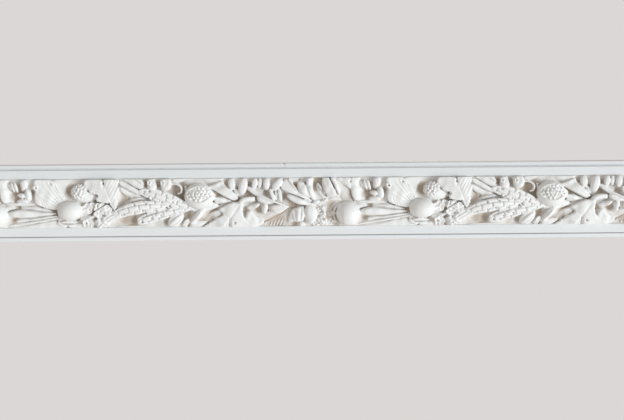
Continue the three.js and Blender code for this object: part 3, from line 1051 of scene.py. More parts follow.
def fan_and_round_fruit() -> List[Motif]:
    """Ribbed fan leaf, the smooth fruit at its base and the curled leaf below."""
    fan = (
        (101, 34), (103, 40), (126, 40), (136, 31), (145, 21), (150.5, 11), (149.5, 4), (143, -3),
        (137, -10.5), (125, -9), (112, -5), (104, 0), (102, 8), (104, 16), (103, 25),
    )
    heights = (
        (106, 30, 11.5), (110, 15, 14), (106, 4, 12), (120, 36, 10), (125, 10, 13.5), (136, 25, 10),
        (138, 0, 9.5), (148, 10, 7.5), (128, -6, 10),
    )
    ribs = (
        (148.5, 8, 141, 23, 1.6), (147, 4, 134, 29, 1.5), (146, 1, 127, 34, 1.4), (143, 1, 119, 35, 1.3),
        (142, -1, 113, 29, 1.2), (139, -3, 109, 20, 1.1), (134, -4, 107, 12, 1.1), (112, 5, 115, -3, 1.3),
        (116, 4, 119, -4, 1.3), (120, 2, 123, -5, 1.2),
    )
    bar = ((142, -28.5), (148, -27), (160, -28.5), (167, -28), (173, -30), (160, -31), (148, -31))
    return [
        CutLeaf(fan, heights, ribs, drop=2.2, rim=2.6),
        CutLeaf(
            ((124, 40), (166, 40), (158, 34), (152, 24), (150, 12), (140, 24)),
            ((140, 36, 6.5), (156, 36, 5), (149, 22, 4.5)),
        ),
        Crown((105, 26.5), (3.8, 4.0), 15.0, 4.0, mouth=0.45),
        RoundFruit((158.5, -11.5), (20.3, 15.6), 26, 18),
        CutLeaf(bar, ((146, -29, 12), (160, -29.5, 11), (170, -30, 9))),
        Stalk([(138, -26.5), (140.5, -31), (147, -34.5), (156, -35.5), (166, -34.5)], 4.2, (9, 11, 8)),
        CutLeaf(((157, -33.5), (172, -32), (187, -33), (183, -40), (158, -40)), ((170, -35, 8),)),
        CutLeaf(((172, -24), (180, -22), (194, -18), (200, -20), (190, -25), (176, -28)), ((185, -23, 9),)),
    ]


def berry_and_vine_leaf() -> List[Motif]:
    """Berry in its cup, and the broad vine leaf that laps over it."""
    vine = (
        (184, 40), (181.5, 33), (182, 27), (188, 24), (188.5, 19), (193, 17), (200, 15), (203, 14),
        (201, 10), (200.5, 5), (205, 2.5), (212, 1.5), (219, 1), (221, -1), (223.5, -6), (227, -11),
        (230, -10.5), (234, -3), (235.5, 5), (233, 11), (236, 16), (238, 23), (237.5, 26.5), (231.5, 27),
        (237, 31), (236.5, 40), (214.2, 40), (213.6, 27), (211.4, 27), (210.8, 40),
    )
    heights = (
        (190, 30, 15), (200, 25, 18), (213, 20, 19), (225, 15, 19.5), (232, 0, 16), (228, -8, 14),
        (232, 33, 16), (205, 8, 17), (222, 32, 17.5),
    )
    return [
        Berry(),
        CutLeaf(
            vine, heights, rim=2.4, rounding=1, serration=1.8,
            spine=(212, 36, 229, -9, 0.8), vein_pitch=6.5, vein_width=0.95,
        ),
    ]


def blossoms() -> List[Motif]:
    """Cluster of open blossoms under the vine leaf, and the ragged flower on the lower rail."""
    fringe = []
    for index in range(11):
        angle = math.radians(140 + 28 * index)
        reach = 10.0 + 3.5 * math.sin(index * 2.1)
        tip = (208 + reach * math.cos(angle), -30 + 0.85 * reach * math.sin(angle))
        rise = (8.0, 11.0 + index % 3, 10.0 + index % 3)
        fringe.append(Blade((208, -30), tip, 4.6, rise, 1.6, belly=0.66, outline=Outline.PETAL))
    return [
        Blossom((185.5, -8), 9.5, 5, 12.5, turn=20),
        Blossom((206, -7), 9.5, 5, 15.5, turn=55),
        Blossom((216, -10), 9.0, 5, 15.0, turn=5),
        Blossom((203, -16), 7.5, 4, 13, turn=10),
        Blossom((186, -31.5), 9.0, 5, 12.5, turn=10),
        Blossom((194, -3), 6.0, 4, 12, turn=30),
        *fringe,
    ]


def ear_sheaf() -> List[Motif]:
    """Three ears that meet at the right, with their husks and the leaves round them."""
    plank = (
        (236.5, 35.8), (241, 36.3), (258, 26.5), (274, 16.8), (273, 12.5), (268, 13), (252, 21.5),
        (237, 30),
    )
    under = (
        (238, 28.5), (253, 20), (268, 12.5), (272, 10.5), (262, 9.5), (250, 10.5), (243, 14), (238, 20),
    )
    above = ((243, 40), (260, 40), (281, 22.5), (283, 19), (276, 17), (258, 28), (242.5, 37))
    spine = (240, 33.5, 272, 15, 0.5)
    sheath = ((256, 40), (270, 40), (276, 34), (277, 27), (270, 30), (262, 36))
    hollow_leaf = (
        (236, 21), (242, 15), (248, 11.5), (250, 6), (246, 1), (240, -4), (234, -8.5), (235.5, 0),
        (236.5, 10),
    )
    ribs = ((239, 15, 247, 4, 0.9), (237, 9, 246, 3, 0.8), (236.5, 3, 243, -1, 0.8))
    boat = (
        (230, -27.5), (240, -21), (252, -19), (263, -21), (267, -27), (262, -33), (246, -34.5), (234, -32),
    )
    sunk = (
        (234, -28, 3), (241, -27, 1), (250, -22.5, 1.5), (258, -28, 0.2), (248, -32, 1.5), (264, -25, 1),
    )
    return [
        Ear((227, -17), (315, -4), 19.5, 4.5, (11.5, 18.5, 12), 5.2, 3),
        Ear((264, -30), (352, -9), 17.5, 3, (9, 13, 9), 5.2, 3, fullest=0.62),
        Ear((268, 20), (353, -9.5), 20.5, 1.5, (10.5, 15, 8.5), 5.0, 3),
        Stalk([(203, -32), (215, -26), (228, -18.5), (246, -13)], 16, (9, 13, 13), flutes=5),
        *[
            CutLeaf(edge, heights, drop=2.0, rim=rim, spine=spine, veins=Veins.PARALLEL, vein_pitch=2.6)
            for edge, heights, rim in (
                (plank, ((240, 33, 13), (258, 23, 13.5), (272, 14.5, 12)), 2.0),
                (under, ((240, 24, 8), (255, 15, 7), (270, 11, 8)), 3.0),
                (above, ((246, 38, 8.5), (262, 30, 10), (279, 20, 9)), 3.0),
            )
        ],
        CutLeaf(sheath, ((264, 37, 11), (274, 30, 11.5)), drop=3.0, rim=3.5),
        CutLeaf(hollow_leaf, ((238, 14, 3), (246, 6, 0.8), (239, -2, 1.2)), ribs, drop=1.0),
        CutLeaf(
            ((251, 3), (257, 7.5), (267, 9.8), (274, 10), (275, 7.5), (268, 5), (258, 2.5), (252, 1)),
            ((258, 5, 10.5), (270, 8, 11)), drop=3.0,
        ),
        CutLeaf(boat, sunk, ((236, -28, 262, -26, 0.4),), drop=-1.6, rim=2.2),
        CutLeaf(
            ((232, -36.5), (262, -35.5), (300, -37), (322, -38), (322, -40), (232, -40)),
            ((280, -37, 6.5),), drop=1.5,
        ),
        Blade((330, -10), (358, -7), 9, (9, 11.5, 8), 2.0),
    ]


def poppy_heads() -> List[Motif]:
    """Two seed heads that run up under the rail, and the curled tendril beside them."""
    first = ((282.5, 40), (293, 40), (295, 32), (297, 24), (293, 20), (286, 19.5), (281, 23), (281.5, 31))
    second = ((302, 40), (318, 40), (320, 31), (319, 23), (312, 19), (304, 21), (302, 29))
    return [
        CutLeaf(first, ((288, 36, 12), (290, 26, 17)), drop=4.0, rim=5.0),
        Crown((285, 33), (3.2, 4.4), 16.5, 3.5, teeth=5),
        CutLeaf(second, ((310, 36, 13), (312, 26, 17.5)), drop=4.0, rim=5.0),
        Crown((306.5, 32.5), (3.4, 4.4), 17.5, 3.5, teeth=5),
        CutLeaf(((320, 40), (346, 40), (340, 35), (328, 31), (320, 29)), ((325, 35, 6),), drop=1.5),
        Stalk(
            [(318, 30), (325, 30.5), (332, 28), (335.5, 22.5), (334, 16.5), (328.5, 14.5)], 3.6,
            (8, 12.5, 9), 0.25,
        ),
        Stalk([(341, 27), (342, 18), (344, 8)], 3, (7, 8, 6)),
    ]


def split_fruit_group() -> List[Motif]:
    """Pomegranate and the leaves on its right."""
    upper = (
        (376, 26), (384, 28.5), (394, 33), (401, 36), (403, 28), (409, 23), (416, 18), (422, 11), (426, 6),
        (417, 2.5), (409, 6.5), (400, 12), (390, 17.5), (381, 22.5),
    )
    shaded = (
        (374, -19), (384, -14), (394, -11), (398, -15), (399, -19), (390, -24), (378, -32), (368, -38),
        (358, -40), (365, -30),
    )
    return [
        SplitFruit(),
        Stalk([(371, 26), (380, 20), (387, 11.5), (379, 3.5), (368, 0.5)], 3.4, (21, 15, 21)),
        CutLeaf(
            upper, ((385, 26, 13), (400, 19, 17), (410, 13, 16.5), (418, 6, 13), (399, 30, 10)), drop=2.2,
            rim=2.5, spine=(383, 25, 422, 6, 0.45),
        ),
        CutLeaf(
            ((368, 40), (402, 40), (400, 34), (390, 30), (372, 32)), ((388, 36, 6.5),), drop=2.0, rim=6.0,
        ),
        CutLeaf(
            ((386, 9), (396, 9.5), (406, 6), (415, 2.5), (408, 0), (398, -1.5), (389, 2), (384, 5)),
            ((395, 6, 12), (410, 3, 9.5)), spine=(386, 6.5, 413, 2.5, 0.4),
        ),
        Stalk([(352, -12), (368, -8), (384, -3), (399, 3)], 6, (8, 11, 8)),
        Stalk([(358, -14), (374, -11), (392, -5)], 5, (7, 9, 7)),
        CutLeaf(
            shaded, ((380, -22, 2.5), (395, -14, 7.5), (370, -33, 1.5), (390, -22, 6)),
            ((395, -14, 370, -34, 1.0),), drop=1.5,
        ),
        Blade((376, -30), (344, -39), 9, (5, 7, 5), 1.5),
    ]


def nuts() -> List[Motif]:
    """Ribbed nuts and an almond pod under the ears."""
    almond = (
        (347, -33), (348, -28), (355, -19), (362, -12), (369, -8), (374, -9), (372, -14), (366, -22),
        (358, -30), (352, -35),
    )
    return [
        Pod((313.5, -36), (337.5, -17), 19, 17.5, grooves=3, depth=2.8, blunt=0.6),
        Pod((336.5, -38.5), (346, -25.5), 9, 10.5, grooves=2, depth=1.6),
        CutLeaf(
            almond, ((352, -30, 12), (362, -18, 16.5), (370, -10, 13)), ((349, -29, 363, -15, 2.4),),
            drop=4.0, rim=4.5,
        ),
    ]


def ivy_and_curl() -> List[Motif]:
    """Lobed leaf at the bottom of the bed and the curled leaf above it."""
    ivy = (
        (432, 0.5), (420, 1.5), (408, -1.5), (402, -5.5), (393, -10.5), (396, -14), (401, -17),
        (399, -20.5), (390, -24.5), (380, -31), (366, -40), (408, -40), (409.5, -34), (411, -24),
        (412.5, -34), (413, -40), (448, -40), (441, -31), (433, -23), (431, -12), (433, -5),
    )
    heights = (
        (415, -12, 16.5), (398, -10, 13), (425, -8, 15.5), (385, -32, 9), (400, -30, 13), (422, -28, 14),
        (436, -36, 11.5),
    )
    foot = (
        (436, -24), (440, -13), (446, -12), (450, -18), (454, -23), (461, -24), (466, -28), (464, -34),
        (452, -40), (434, -40), (433, -30),
    )
    return [
        CutLeaf(
            ivy, heights, ((402, -40, 425, -6, 1.3), (412, -25, 395, -12, 0.9), (407, -33, 382, -33, 0.9)),
            rim=2.4, rounding=1, line_width=1.5, serration=1.2, tooth=7.0,
        ),
        Stalk([(427.5, -8), (428, -1), (433, 4), (441, 6), (451, 5.5)], 7.5, (13, 17.5, 14)),
        CutLeaf(
            ((437, -11), (440, -6), (447, -2.5), (456, -0.5), (460, -2), (455, -8), (448, -11)),
            ((442, -8, 10), (455, -3, 15.5)),
        ),
        CutLeaf(
            foot, ((441, -18, 13.5), (445, -28, 11), (439, -34, 11.5), (460, -29, 9)), undercut=0.8,
            spine=(440, -14, 451, -38, 0.4),
        ),
        Pod((468.5, 0), (465.5, -18.5), 9.5, 13.5),
    ]


def laurel_sprig() -> List[Motif]:
    """Stem with plump leaflets."""
    leaflets = (
        ((413.5, 39), (416, 19.5), 12.5, 12.5), ((435.5, 40), (429.5, 11.5), 15, 15),
        ((452.5, 39.5), (449.5, 20), 10, 13.5), ((460, 39), (458.5, 22), 6.5, 12),
        ((470.5, 39), (469, 19.5), 11.5, 14.5), ((494, 38), (479.5, 18.5), 13, 15),
        ((438, 25), (461, 9.5), 8.5, 14.5), ((475, 22), (482.5, 1), 7, 14.5),
        ((484.5, 19), (485.5, 3), 4.4, 11.5), ((489.5, 22.5), (492.5, 0.5), 7, 14),
        ((419, 22), (427, 9.5), 8, 9),
    )
    broad = ((453, 8), (460, 12), (470, 8), (478, 4.5), (485, 0), (478, -2.5), (466, -2), (456, 2))
    diamond = (
        (476, -5), (488, -2.5), (497, -4), (505, -8.5), (498, -13), (490, -18), (481, -17), (477, -12),
    )
    return [
        *[Pod(base, tip, width, rise, 2, 0.6, 0.5) for base, tip, width, rise in leaflets],
        CutLeaf(
            broad, ((458, 7, 14), (470, 2, 15), (480, 0, 13)), drop=3.0, rim=4.0,
            spine=(455, 5, 483, 0, 0.4),
        ),
        CutLeaf(
            diamond, ((483, -9, 15), (495, -8, 15.5)), drop=3.0, rim=4.0, undercut=0.75,
            spine=(477, -9.5, 504, -8.5, 0.4),
        ),
        Stalk([(442, 24), (455, 14), (466, 9), (480, 2), (492, -2), (505, -8)], 2.8, (12, 17, 13.5)),
    ]


def knot_blades() -> List[Motif]:
    """Shaded leaf, pleated leaf and blades that spring from the knot at the joint."""
    shaded = (
        (466, -31.5), (476, -27), (490, -20), (505, -10), (512, -9), (514, -20), (508, -30), (503, -40),
        (466, -40),
    )
    blade = (
        (490, 23), (493, 29), (499, 38), (505, 35), (510, 28), (517, 19), (530, 10.5), (544, 1),
        (541, -0.5), (528, 5.5), (512, 12.5), (502, 15.5),
    )
    plank = (
        (501, 10), (503, 13.5), (512, 11), (528, 4.2), (542, -1.7), (549, -5), (540, -6), (528, -4.5),
        (514, -1), (505, 4.5),
    )
    petal = (
        (520, 33), (528, 32), (533, 25), (536, 14), (540, 5), (530, 10), (522, 15.5), (518.5, 22),
        (518.5, 29),
    )
    hood = (
        (533, 40), (545, 40), (543, 30), (543, 20), (546, 8), (549, 1), (543, 2), (538, 8), (535, 17),
        (532.5, 27),
    )
    lobe = (
        (531, -5), (538, -3.5), (545, -6), (549.5, -13), (550, -24), (546, -32), (538, -35.5), (531.5, -30),
        (529.5, -18),
    )
    fold = (
        (504, -24), (508, -14), (513, -9.5), (520, -8), (528, -5), (530, -12), (529, -29), (522, -31.5),
        (513, -31), (506, -33), (502, -31),
    )
    pleats = ((513, -10, 517, -22, 1.8), (508, -19, 512, -30, 1.2), (524, -9, 523.5, -26, 1.0))
    return [
        CutLeaf(
            shaded, ((470, -34, 0.6), (484, -27, 1.0), (502, -14, 2.2), (502, -30, 2.4), (485, -36, 1.2)),
            drop=0.4,
        ),
        *[
            Blade((474 + 5 * k, -39), (478 + 6 * k, -29 + 2 * k), 3.6, (3.4, 3.0, 1.0), 1.4)
            for k in range(5)
        ],
        CutLeaf(
            fold,
            (
                (506, -26, 6), (511, -15, 9), (516, -24, 11.5), (521, -12, 13), (526, -20, 15),
                (523, -28, 12.5),
            ),
            pleats, drop=2.5, rim=4.0, line_width=1.3,
        ),
        Pod((518.5, -31), (521, -9), 7.5, 14, blunt=0.5),
        CutLeaf(((521, -31.5), (529, -31.5), (531, -40), (520, -40)), ((526, -36, 9),)),
        CutLeaf(lobe, ((540, -16, 18.5), (533, -28, 14), (546, -24, 15)), drop=4.0, rim=6.0),
        CutLeaf(
            blade, ((497, 29, 11.5), (508, 22, 13), (525, 11, 11.5), (540, 2, 10)), drop=2.2,
            spine=(496, 31, 542, 0.5, 0.4),
        ),
        Stalk([(505, 37), (511, 28), (518, 18)], 2.4, (13, 14.5, 13)),
        CutLeaf(plank, ((505, 9, 18.5), (520, 4, 19.5), (540, -3, 14)), drop=3.5, rim=3.5),
        CutLeaf(
            petal, ((524, 28, 13.5), (529, 18, 16.5), (536, 9, 13)), drop=3.5, rim=4.5,
            spine=(523, 31, 538, 7, 0.35), veins=Veins.PARALLEL, vein_pitch=3.4,
        ),
        CutLeaf(
            hood, ((537, 33, 13), (538, 20, 17), (545, 5, 12), (543, 30, 8)), drop=3.0, rim=4.0,
            spine=(537, 38, 547, 3, 0.35), veins=Veins.PARALLEL, vein_pitch=3.4,
        ),
        CutLeaf(
            ((548, 30), (553, 26), (558, 18), (561, 10), (558, 7), (553, 10), (549, 18)),
            ((551, 22, 5), (557, 17, 9), (559, 11, 9)), ((551, 26, 556, 12, 0.9), (554, 24, 559, 11, 0.9)),
        ),
        Stalk([(550, 30), (556, 22), (560, 12)], 2.2, (9, 12, 10)),
        Pod((542, -2), (554, 2), 7, 13),
        Filler(547, count=14, spread=5, top=-31, bottom=-38, rise=8, seed=8),
    ]


def add_node(
    nodes: bpy.types.Nodes, kind: str, inputs: Optional[Dict[str, object]] = None, **options: str
) -> bpy.types.Node:
    """Adds a node to a tree.

    Args:
        nodes: Nodes of the tree.
        kind: Type of the node, without its common first part.
        inputs: Value of each input that is set.
        options: Options of the node, set before its inputs.

    Returns:
        The node.
    """
    node = nodes.new("ShaderNode" + kind)
    for option, choice in options.items():
        setattr(node, option, choice)
    for socket, value in (inputs or {}).items():
        node.inputs[socket].default_value = value
    return node


def join_nodes(links: bpy.types.NodeLinks, wires: Sequence[Wire]) -> None:
    """Joins nodes, each wire from an output of one to an input of another."""
    for source, outlet, target, inlet in wires:
        links.new(source.outputs[outlet], target.inputs[inlet])


@dataclass(frozen=True)
class PlasterFinish:
    """Matt white paint over plaster: faint mottling and fine grain, painted shade in the low parts and
    creases of a cast and in the quirks and top edge of the run, and bare patchy plaster on the run's back.
    """

    name: str
    light: Colour
    dark: Colour
    # The hollow colour and the darker patch colour below it: on a cast they are painted shade, warm and
    # dark over the low parts near the ground; on the run they are the bare plaster of its back.
    hollow: Colour
    shade_and_bare_patch: Colour
    shade_and_bare_depth: Point
    # Crease colour: painted shade, laid on by the point attribute of painted shade.
    crease: Colour
    crease_shade_depth: Point
    grain: float
    grain_scale: float
    stretch: Place
    roughness: float = 0.5
    sheen: float = 0.35
    mottle_scale: float = 38.0
    mottle_detail: float = 4.0
    patch_range: Point = (0.38, 0.62)
    grain_detail: float = 5.0
    grain_height: float = 0.0006

    def material(self) -> bpy.types.Material:
        """Builds the node material.

        Returns:
            The material.
        """
        mat = bpy.data.materials.new(self.name)
        mat.use_nodes = True
        nodes = mat.node_tree.nodes
        shader = nodes["Principled BSDF"]
        shader.inputs["Roughness"].default_value = self.roughness
        shader.inputs["Specular IOR Level"].default_value = self.sheen
        where = add_node(nodes, "TexCoord")
        mapping = add_node(nodes, "Mapping", {"Scale": self.stretch})
        mottle = add_node(nodes, "TexNoise", {"Scale": self.mottle_scale, "Detail": self.mottle_detail})
        grain = add_node(nodes, "TexNoise", {"Scale": self.grain_scale, "Detail": self.grain_detail})
        relief = add_node(nodes, "Bump", {"Strength": self.grain, "Distance": self.grain_height})
        split = add_node(nodes, "SeparateXYZ")
        # Where shade is painted, from the point attribute: creases of a cast, the quirks and top edge of
        # the run.
        sunk = add_node(nodes, "Attribute", attribute_name=SHADE_MARKS)
        # Depth from the back sets where the hollow colours go: painted shade on the low parts of a cast,
        # bare plaster on the run's back.
        shallow, deep = (-depth * MM for depth in self.shade_and_bare_depth)
        ranges = []
        for (low, high), blending in (
            ((shallow, deep), "SMOOTHSTEP"),
            (self.patch_range, "LINEAR"),
            (self.crease_shade_depth, "SMOOTHSTEP"),
        ):
            limits = {"From Min": low, "From Max": high}
            ranges.append(add_node(nodes, "MapRange", limits, interpolation_type=blending))
        depth, patch, line = ranges
        blend = add_node(nodes, "Mix", {"A": self.dark, "B": self.light}, data_type="RGBA")
        shade_and_bare_patch = add_node(nodes, "Mix", {"A": self.shade_and_bare_patch, "B": self.hollow}, data_type="RGBA")
        shade_and_bare_mix = add_node(nodes, "Mix", data_type="RGBA")
        crease_shade_mix = add_node(nodes, "Mix", {"B": self.crease}, data_type="RGBA")
        join_nodes(mat.node_tree.links, (
            (where, "Object", mapping, "Vector"),
            (where, "Object", mottle, "Vector"),
            (where, "Object", split, "Vector"),
            (mapping, "Vector", grain, "Vector"),
            (mottle, "Fac", blend, "Factor"),
            (mottle, "Fac", patch, "Value"),
            (patch, "Result", shade_and_bare_patch, "Factor"),
            (shade_and_bare_patch, "Result", shade_and_bare_mix, "A"),
            (blend, "Result", shade_and_bare_mix, "B"),
            (split, "Y", depth, "Value"),
            (depth, "Result", shade_and_bare_mix, "Factor"),
            (sunk, "Fac", line, "Value"),
            (line, "Result", crease_shade_mix, "Factor"),
            (shade_and_bare_mix, "Result", crease_shade_mix, "A"),
            (crease_shade_mix, "Result", shader, "Base Color"),
            (grain, "Fac", relief, "Height"),
            (relief, "Normal", shader, "Normal"),
        ))
        return mat


RUN_FINISH = PlasterFinish(
    name="run_plaster_paint",
    light=(0.838, 0.848, 0.855, 1.0),
    dark=(0.813, 0.823, 0.83, 1.0),
    # Bare plaster, patchy, on the back of the run.
    hollow=(0.84, 0.825, 0.795, 1.0),
    shade_and_bare_patch=(0.785, 0.768, 0.738, 1.0),
    shade_and_bare_depth=(0.3, 2.0),
    # Painted shade, grey, in the quirks and on the top edge.
    crease=(0.40, 0.395, 0.39, 1.0),
    crease_shade_depth=(0.0, 1.0),
    grain=0.25,
    grain_scale=260.0,
    stretch=(0.12, 1.0, 1.0),
)
CAST_FINISH = PlasterFinish(
    name="cast_plaster_paint",
    light=(0.895, 0.89, 0.882, 1.0),
    dark=(0.862, 0.856, 0.846, 1.0),
    # Painted shade: warm brown over the low parts of the relief, darkest at the ground.
    hollow=(0.56, 0.473, 0.39, 1.0),
    shade_and_bare_patch=(0.48, 0.40, 0.325, 1.0),
    shade_and_bare_depth=(12.3, 18.0),
    # Painted shade in the creases between the forms.
    crease=(0.72, 0.635, 0.55, 1.0),
    crease_shade_depth=(0.12, 1.3),
    grain=0.3,
    grain_scale=420.0,
    stretch=(1.0, 1.0, 1.0),
)


def linked(name: str, data: bpy.types.ID) -> bpy.types.Object:
    """Makes an object of a mesh, lamp or camera and links it to the scene."""
    obj = bpy.data.objects.new(name, data)
    bpy.context.scene.collection.objects.link(obj)
    return obj


def object_from(name: str, bm: Solid) -> bpy.types.Object:
    """Makes an object of a bmesh and frees it.

    Args:
        name: Name of the object and its mesh.
        bm: The mesh in edit form.

    Returns:
        The object, linked to the scene.
    """
    mesh = bpy.data.meshes.new(name)
    bm.to_mesh(mesh)
    bm.free()
    return linked(name, mesh)


def softened(obj: bpy.types.Object, rounds: int) -> None:
    """Adds a modifier that smooths a mesh a number of times over."""
    soften = obj.modifiers.new("soften", "SMOOTH")
    soften.factor = 0.5
    soften.iterations = rounds


def baked(obj: bpy.types.Object) -> bpy.types.Mesh:
    """Mesh of an object with its modifiers applied; the object itself is deleted.

    Args:
        obj: The object.

    Returns:
        A mesh of its own.
    """
    depsgraph = bpy.context.evaluated_depsgraph_get()
    mesh = bpy.data.meshes.new_from_object(obj.evaluated_get(depsgraph))
    bpy.data.objects.remove(obj)
    return mesh


def cut(bm: Solid, point: Sequence[float], normal: Sequence[float]) -> None:
    """Cuts away what lies beyond a plane and closes the cut.

    Args:
        bm: Closed mesh, changed in place.
        point: Point on the plane.
        normal: Direction of the side that goes.
    """
    rim = sliced(bm, point, normal, ON_PLANE, clear=True)
    bmesh.ops.holes_fill(bm, edges=rim, sides=0)


def keep_largest(bm: Solid) -> None:
    """Deletes all but the largest connected part, which drops the closed pockets inside a fused skin.

    Args:
        bm: The mesh, changed in place.
    """
    left = set(bm.verts)
    largest = set()
    while left:
        part = {left.pop()}
        reached = list(part)
        while reached:
            vert = reached.pop()
            for side in vert.link_edges:
                other = side.other_vert(vert)
                if other in left:
                    left.remove(other)
                    part.add(other)
                    reached.append(other)
        if len(part) > len(largest):
            largest = part
    loose = [vert for vert in bm.verts if vert not in largest]
    bmesh.ops.delete(bm, geom=loose, context="VERTS")


@dataclass
class Pattern:
    """One repeat of the ornament, fused into one skin."""

    margin: float = 12.0
    half_height: float = 38.3
    spare: float = 2.0
    softening: int = 2
    # Rounds of smoothing used to find the creases that get painted shade.
    crease_shade_reach: int = 24
    groups: Sequence[Callable[[], List[Motif]]] = (
        joint_leaf, trumpet_flower, strap_leaves, fan_and_round_fruit, berry_and_vine_leaf, blossoms,
        ear_sheaf, poppy_heads, split_fruit_group, nuts, ivy_and_curl, laurel_sprig, knot_blades,
    )

    def ground(self) -> Solid:
        """Slab under the ornament, a little larger than the casts on every side."""
        bm = bmesh.new()
        bmesh.ops.create_cube(bm, size=1.0)
        size = (
            REPEAT + 2 * self.margin,
            2 * self.half_height + 2 * self.spare,
            GROUND + self.spare,
        )
        bmesh.ops.scale(bm, vec=size, verts=bm.verts)
        bmesh.ops.translate(bm, vec=(REPEAT / 2, 0, -size[2] / 2), verts=bm.verts)
        return bm

    def gathered(self) -> Solid:
        """All the motifs on their ground, as loose closed meshes."""
        whole = bmesh.new()
        motifs: List[Motif] = [Underlay(), Filler(0.0), Filler(REPEAT)]
        for group in self.groups:
            members = group()
            LOG.info("%s: %d motifs", group.__name__, len(members))
            motifs.extend(members)
        parts = [self.ground()]
        for motif in motifs:
            parts.extend(motif.carve())
        scratch = bpy.data.meshes.new("part")
        for part in parts:
            bmesh.ops.recalc_face_normals(part, faces=list(part.faces))
            part.to_mesh(scratch)
            part.free()
            whole.from_mesh(scratch)
        bpy.data.meshes.remove(scratch)
        return whole

    def skin(self) -> bpy.types.Mesh:
        """The motifs fused, softened, thinned and cut to the bed's width and the cast's back.

        Returns:
            The mesh, in millimetres, in the pattern's own frame.
        """
        obj = object_from("pattern", self.gathered())
        fuse = obj.modifiers.new("fuse", "REMESH")
        fuse.mode = "VOXEL"
        fuse.voxel_size = VOXEL * 1.0
        softened(obj, self.softening)
        mesh = baked(obj)
        Tooling().work(mesh)
        count = sum(len(face.vertices) - 2 for face in mesh.polygons)
        LOG.info("pattern: %d triangles before thinning", count)
        obj = linked("pattern", mesh)
        thin = obj.modifiers.new("thin", "DECIMATE")
        thin.ratio = min(1.0, MOST_TRIANGLES / count)
        mesh = baked(obj)
        bm = bmesh.new()
        bm.from_mesh(mesh)
        keep_largest(bm)
        cut(bm, (0, self.half_height, 0), (0, 1, 0))
        cut(bm, (0, -self.half_height, 0), (0, -1, 0))
        cut(bm, (0, 0, -GROUND), (0, 0, -1))
        bm.to_mesh(mesh)
        bm.free()
        self.mark_creases(mesh)
        return mesh

    def mark_creases(self, mesh: bpy.types.Mesh) -> None:
        """Notes how far each point lies below the skin round it, in millimetres, where the finish paints
        shade into creases.

        Args:
            mesh: The skin, which gets the values as an attribute of its points.
        """
        obj = linked("smoothed", mesh.copy())
        softened(obj, self.crease_shade_reach)
        level = baked(obj)
        marks = mesh.attributes.new(SHADE_MARKS, "FLOAT", "POINT")
        for vert, flat, mark in zip(mesh.vertices, level.vertices, marks.data):
            mark.value = (flat.co - vert.co).dot(vert.normal)
        bpy.data.meshes.remove(level)


class Piece:
    """One visible piece, which takes the place of a solid."""

    node: str
    slot: str
    shade_angle: float

    def dress(self, piece: bpy.types.Object, paint: bpy.types.Material) -> None:
        """Sets the shading, finish and body of the piece, and hides the solid that it replaces.

        Args:
            piece: The piece.
            paint: Its finish.
        """
        piece.data.shade_smooth()
        piece.data.set_sharp_from_angle(angle=math.radians(self.shade_angle))
        piece.data.materials.append(paint)
        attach(piece, "root")
        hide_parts(self.node)
        piece.data.calc_loop_triangles()
        LOG.info("%s: %d triangles", piece.name, len(piece.data.loop_triangles))


@dataclass
class EnrichmentCast(Piece):
    """One cast, cut from the pattern to the length that its solid takes."""

    node: str
    origin: float
    slot: str = "cast_plaster"
    shade_angle: float = 50.0

    def build(self, skin: bpy.types.Mesh) -> bpy.types.Object:
        """Cuts the cast from the pattern and turns it into its place.

        Args:
            skin: The pattern's skin, in millimetres.

        Returns:
            The piece.
        """
        low, high = (Vector(corner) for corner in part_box(self.node))
        bm = bmesh.new()
        bm.from_mesh(skin)
        cut(bm, (low.x / MM - self.origin, 0, 0), (-1, 0, 0))
        cut(bm, (high.x / MM - self.origin, 0, 0), (1, 0, 0))
        turn = Matrix((
            (MM, 0, 0, self.origin * MM),
            (0, 0, -MM, high.y - GROUND * MM),
            (0, MM, 0, 0),
            (0, 0, 0, 1),
        ))
        bmesh.ops.transform(bm, matrix=turn, verts=bm.verts)
        bmesh.ops.recalc_face_normals(bm, faces=list(bm.faces))
        return object_from(self.node + "_relief", bm)


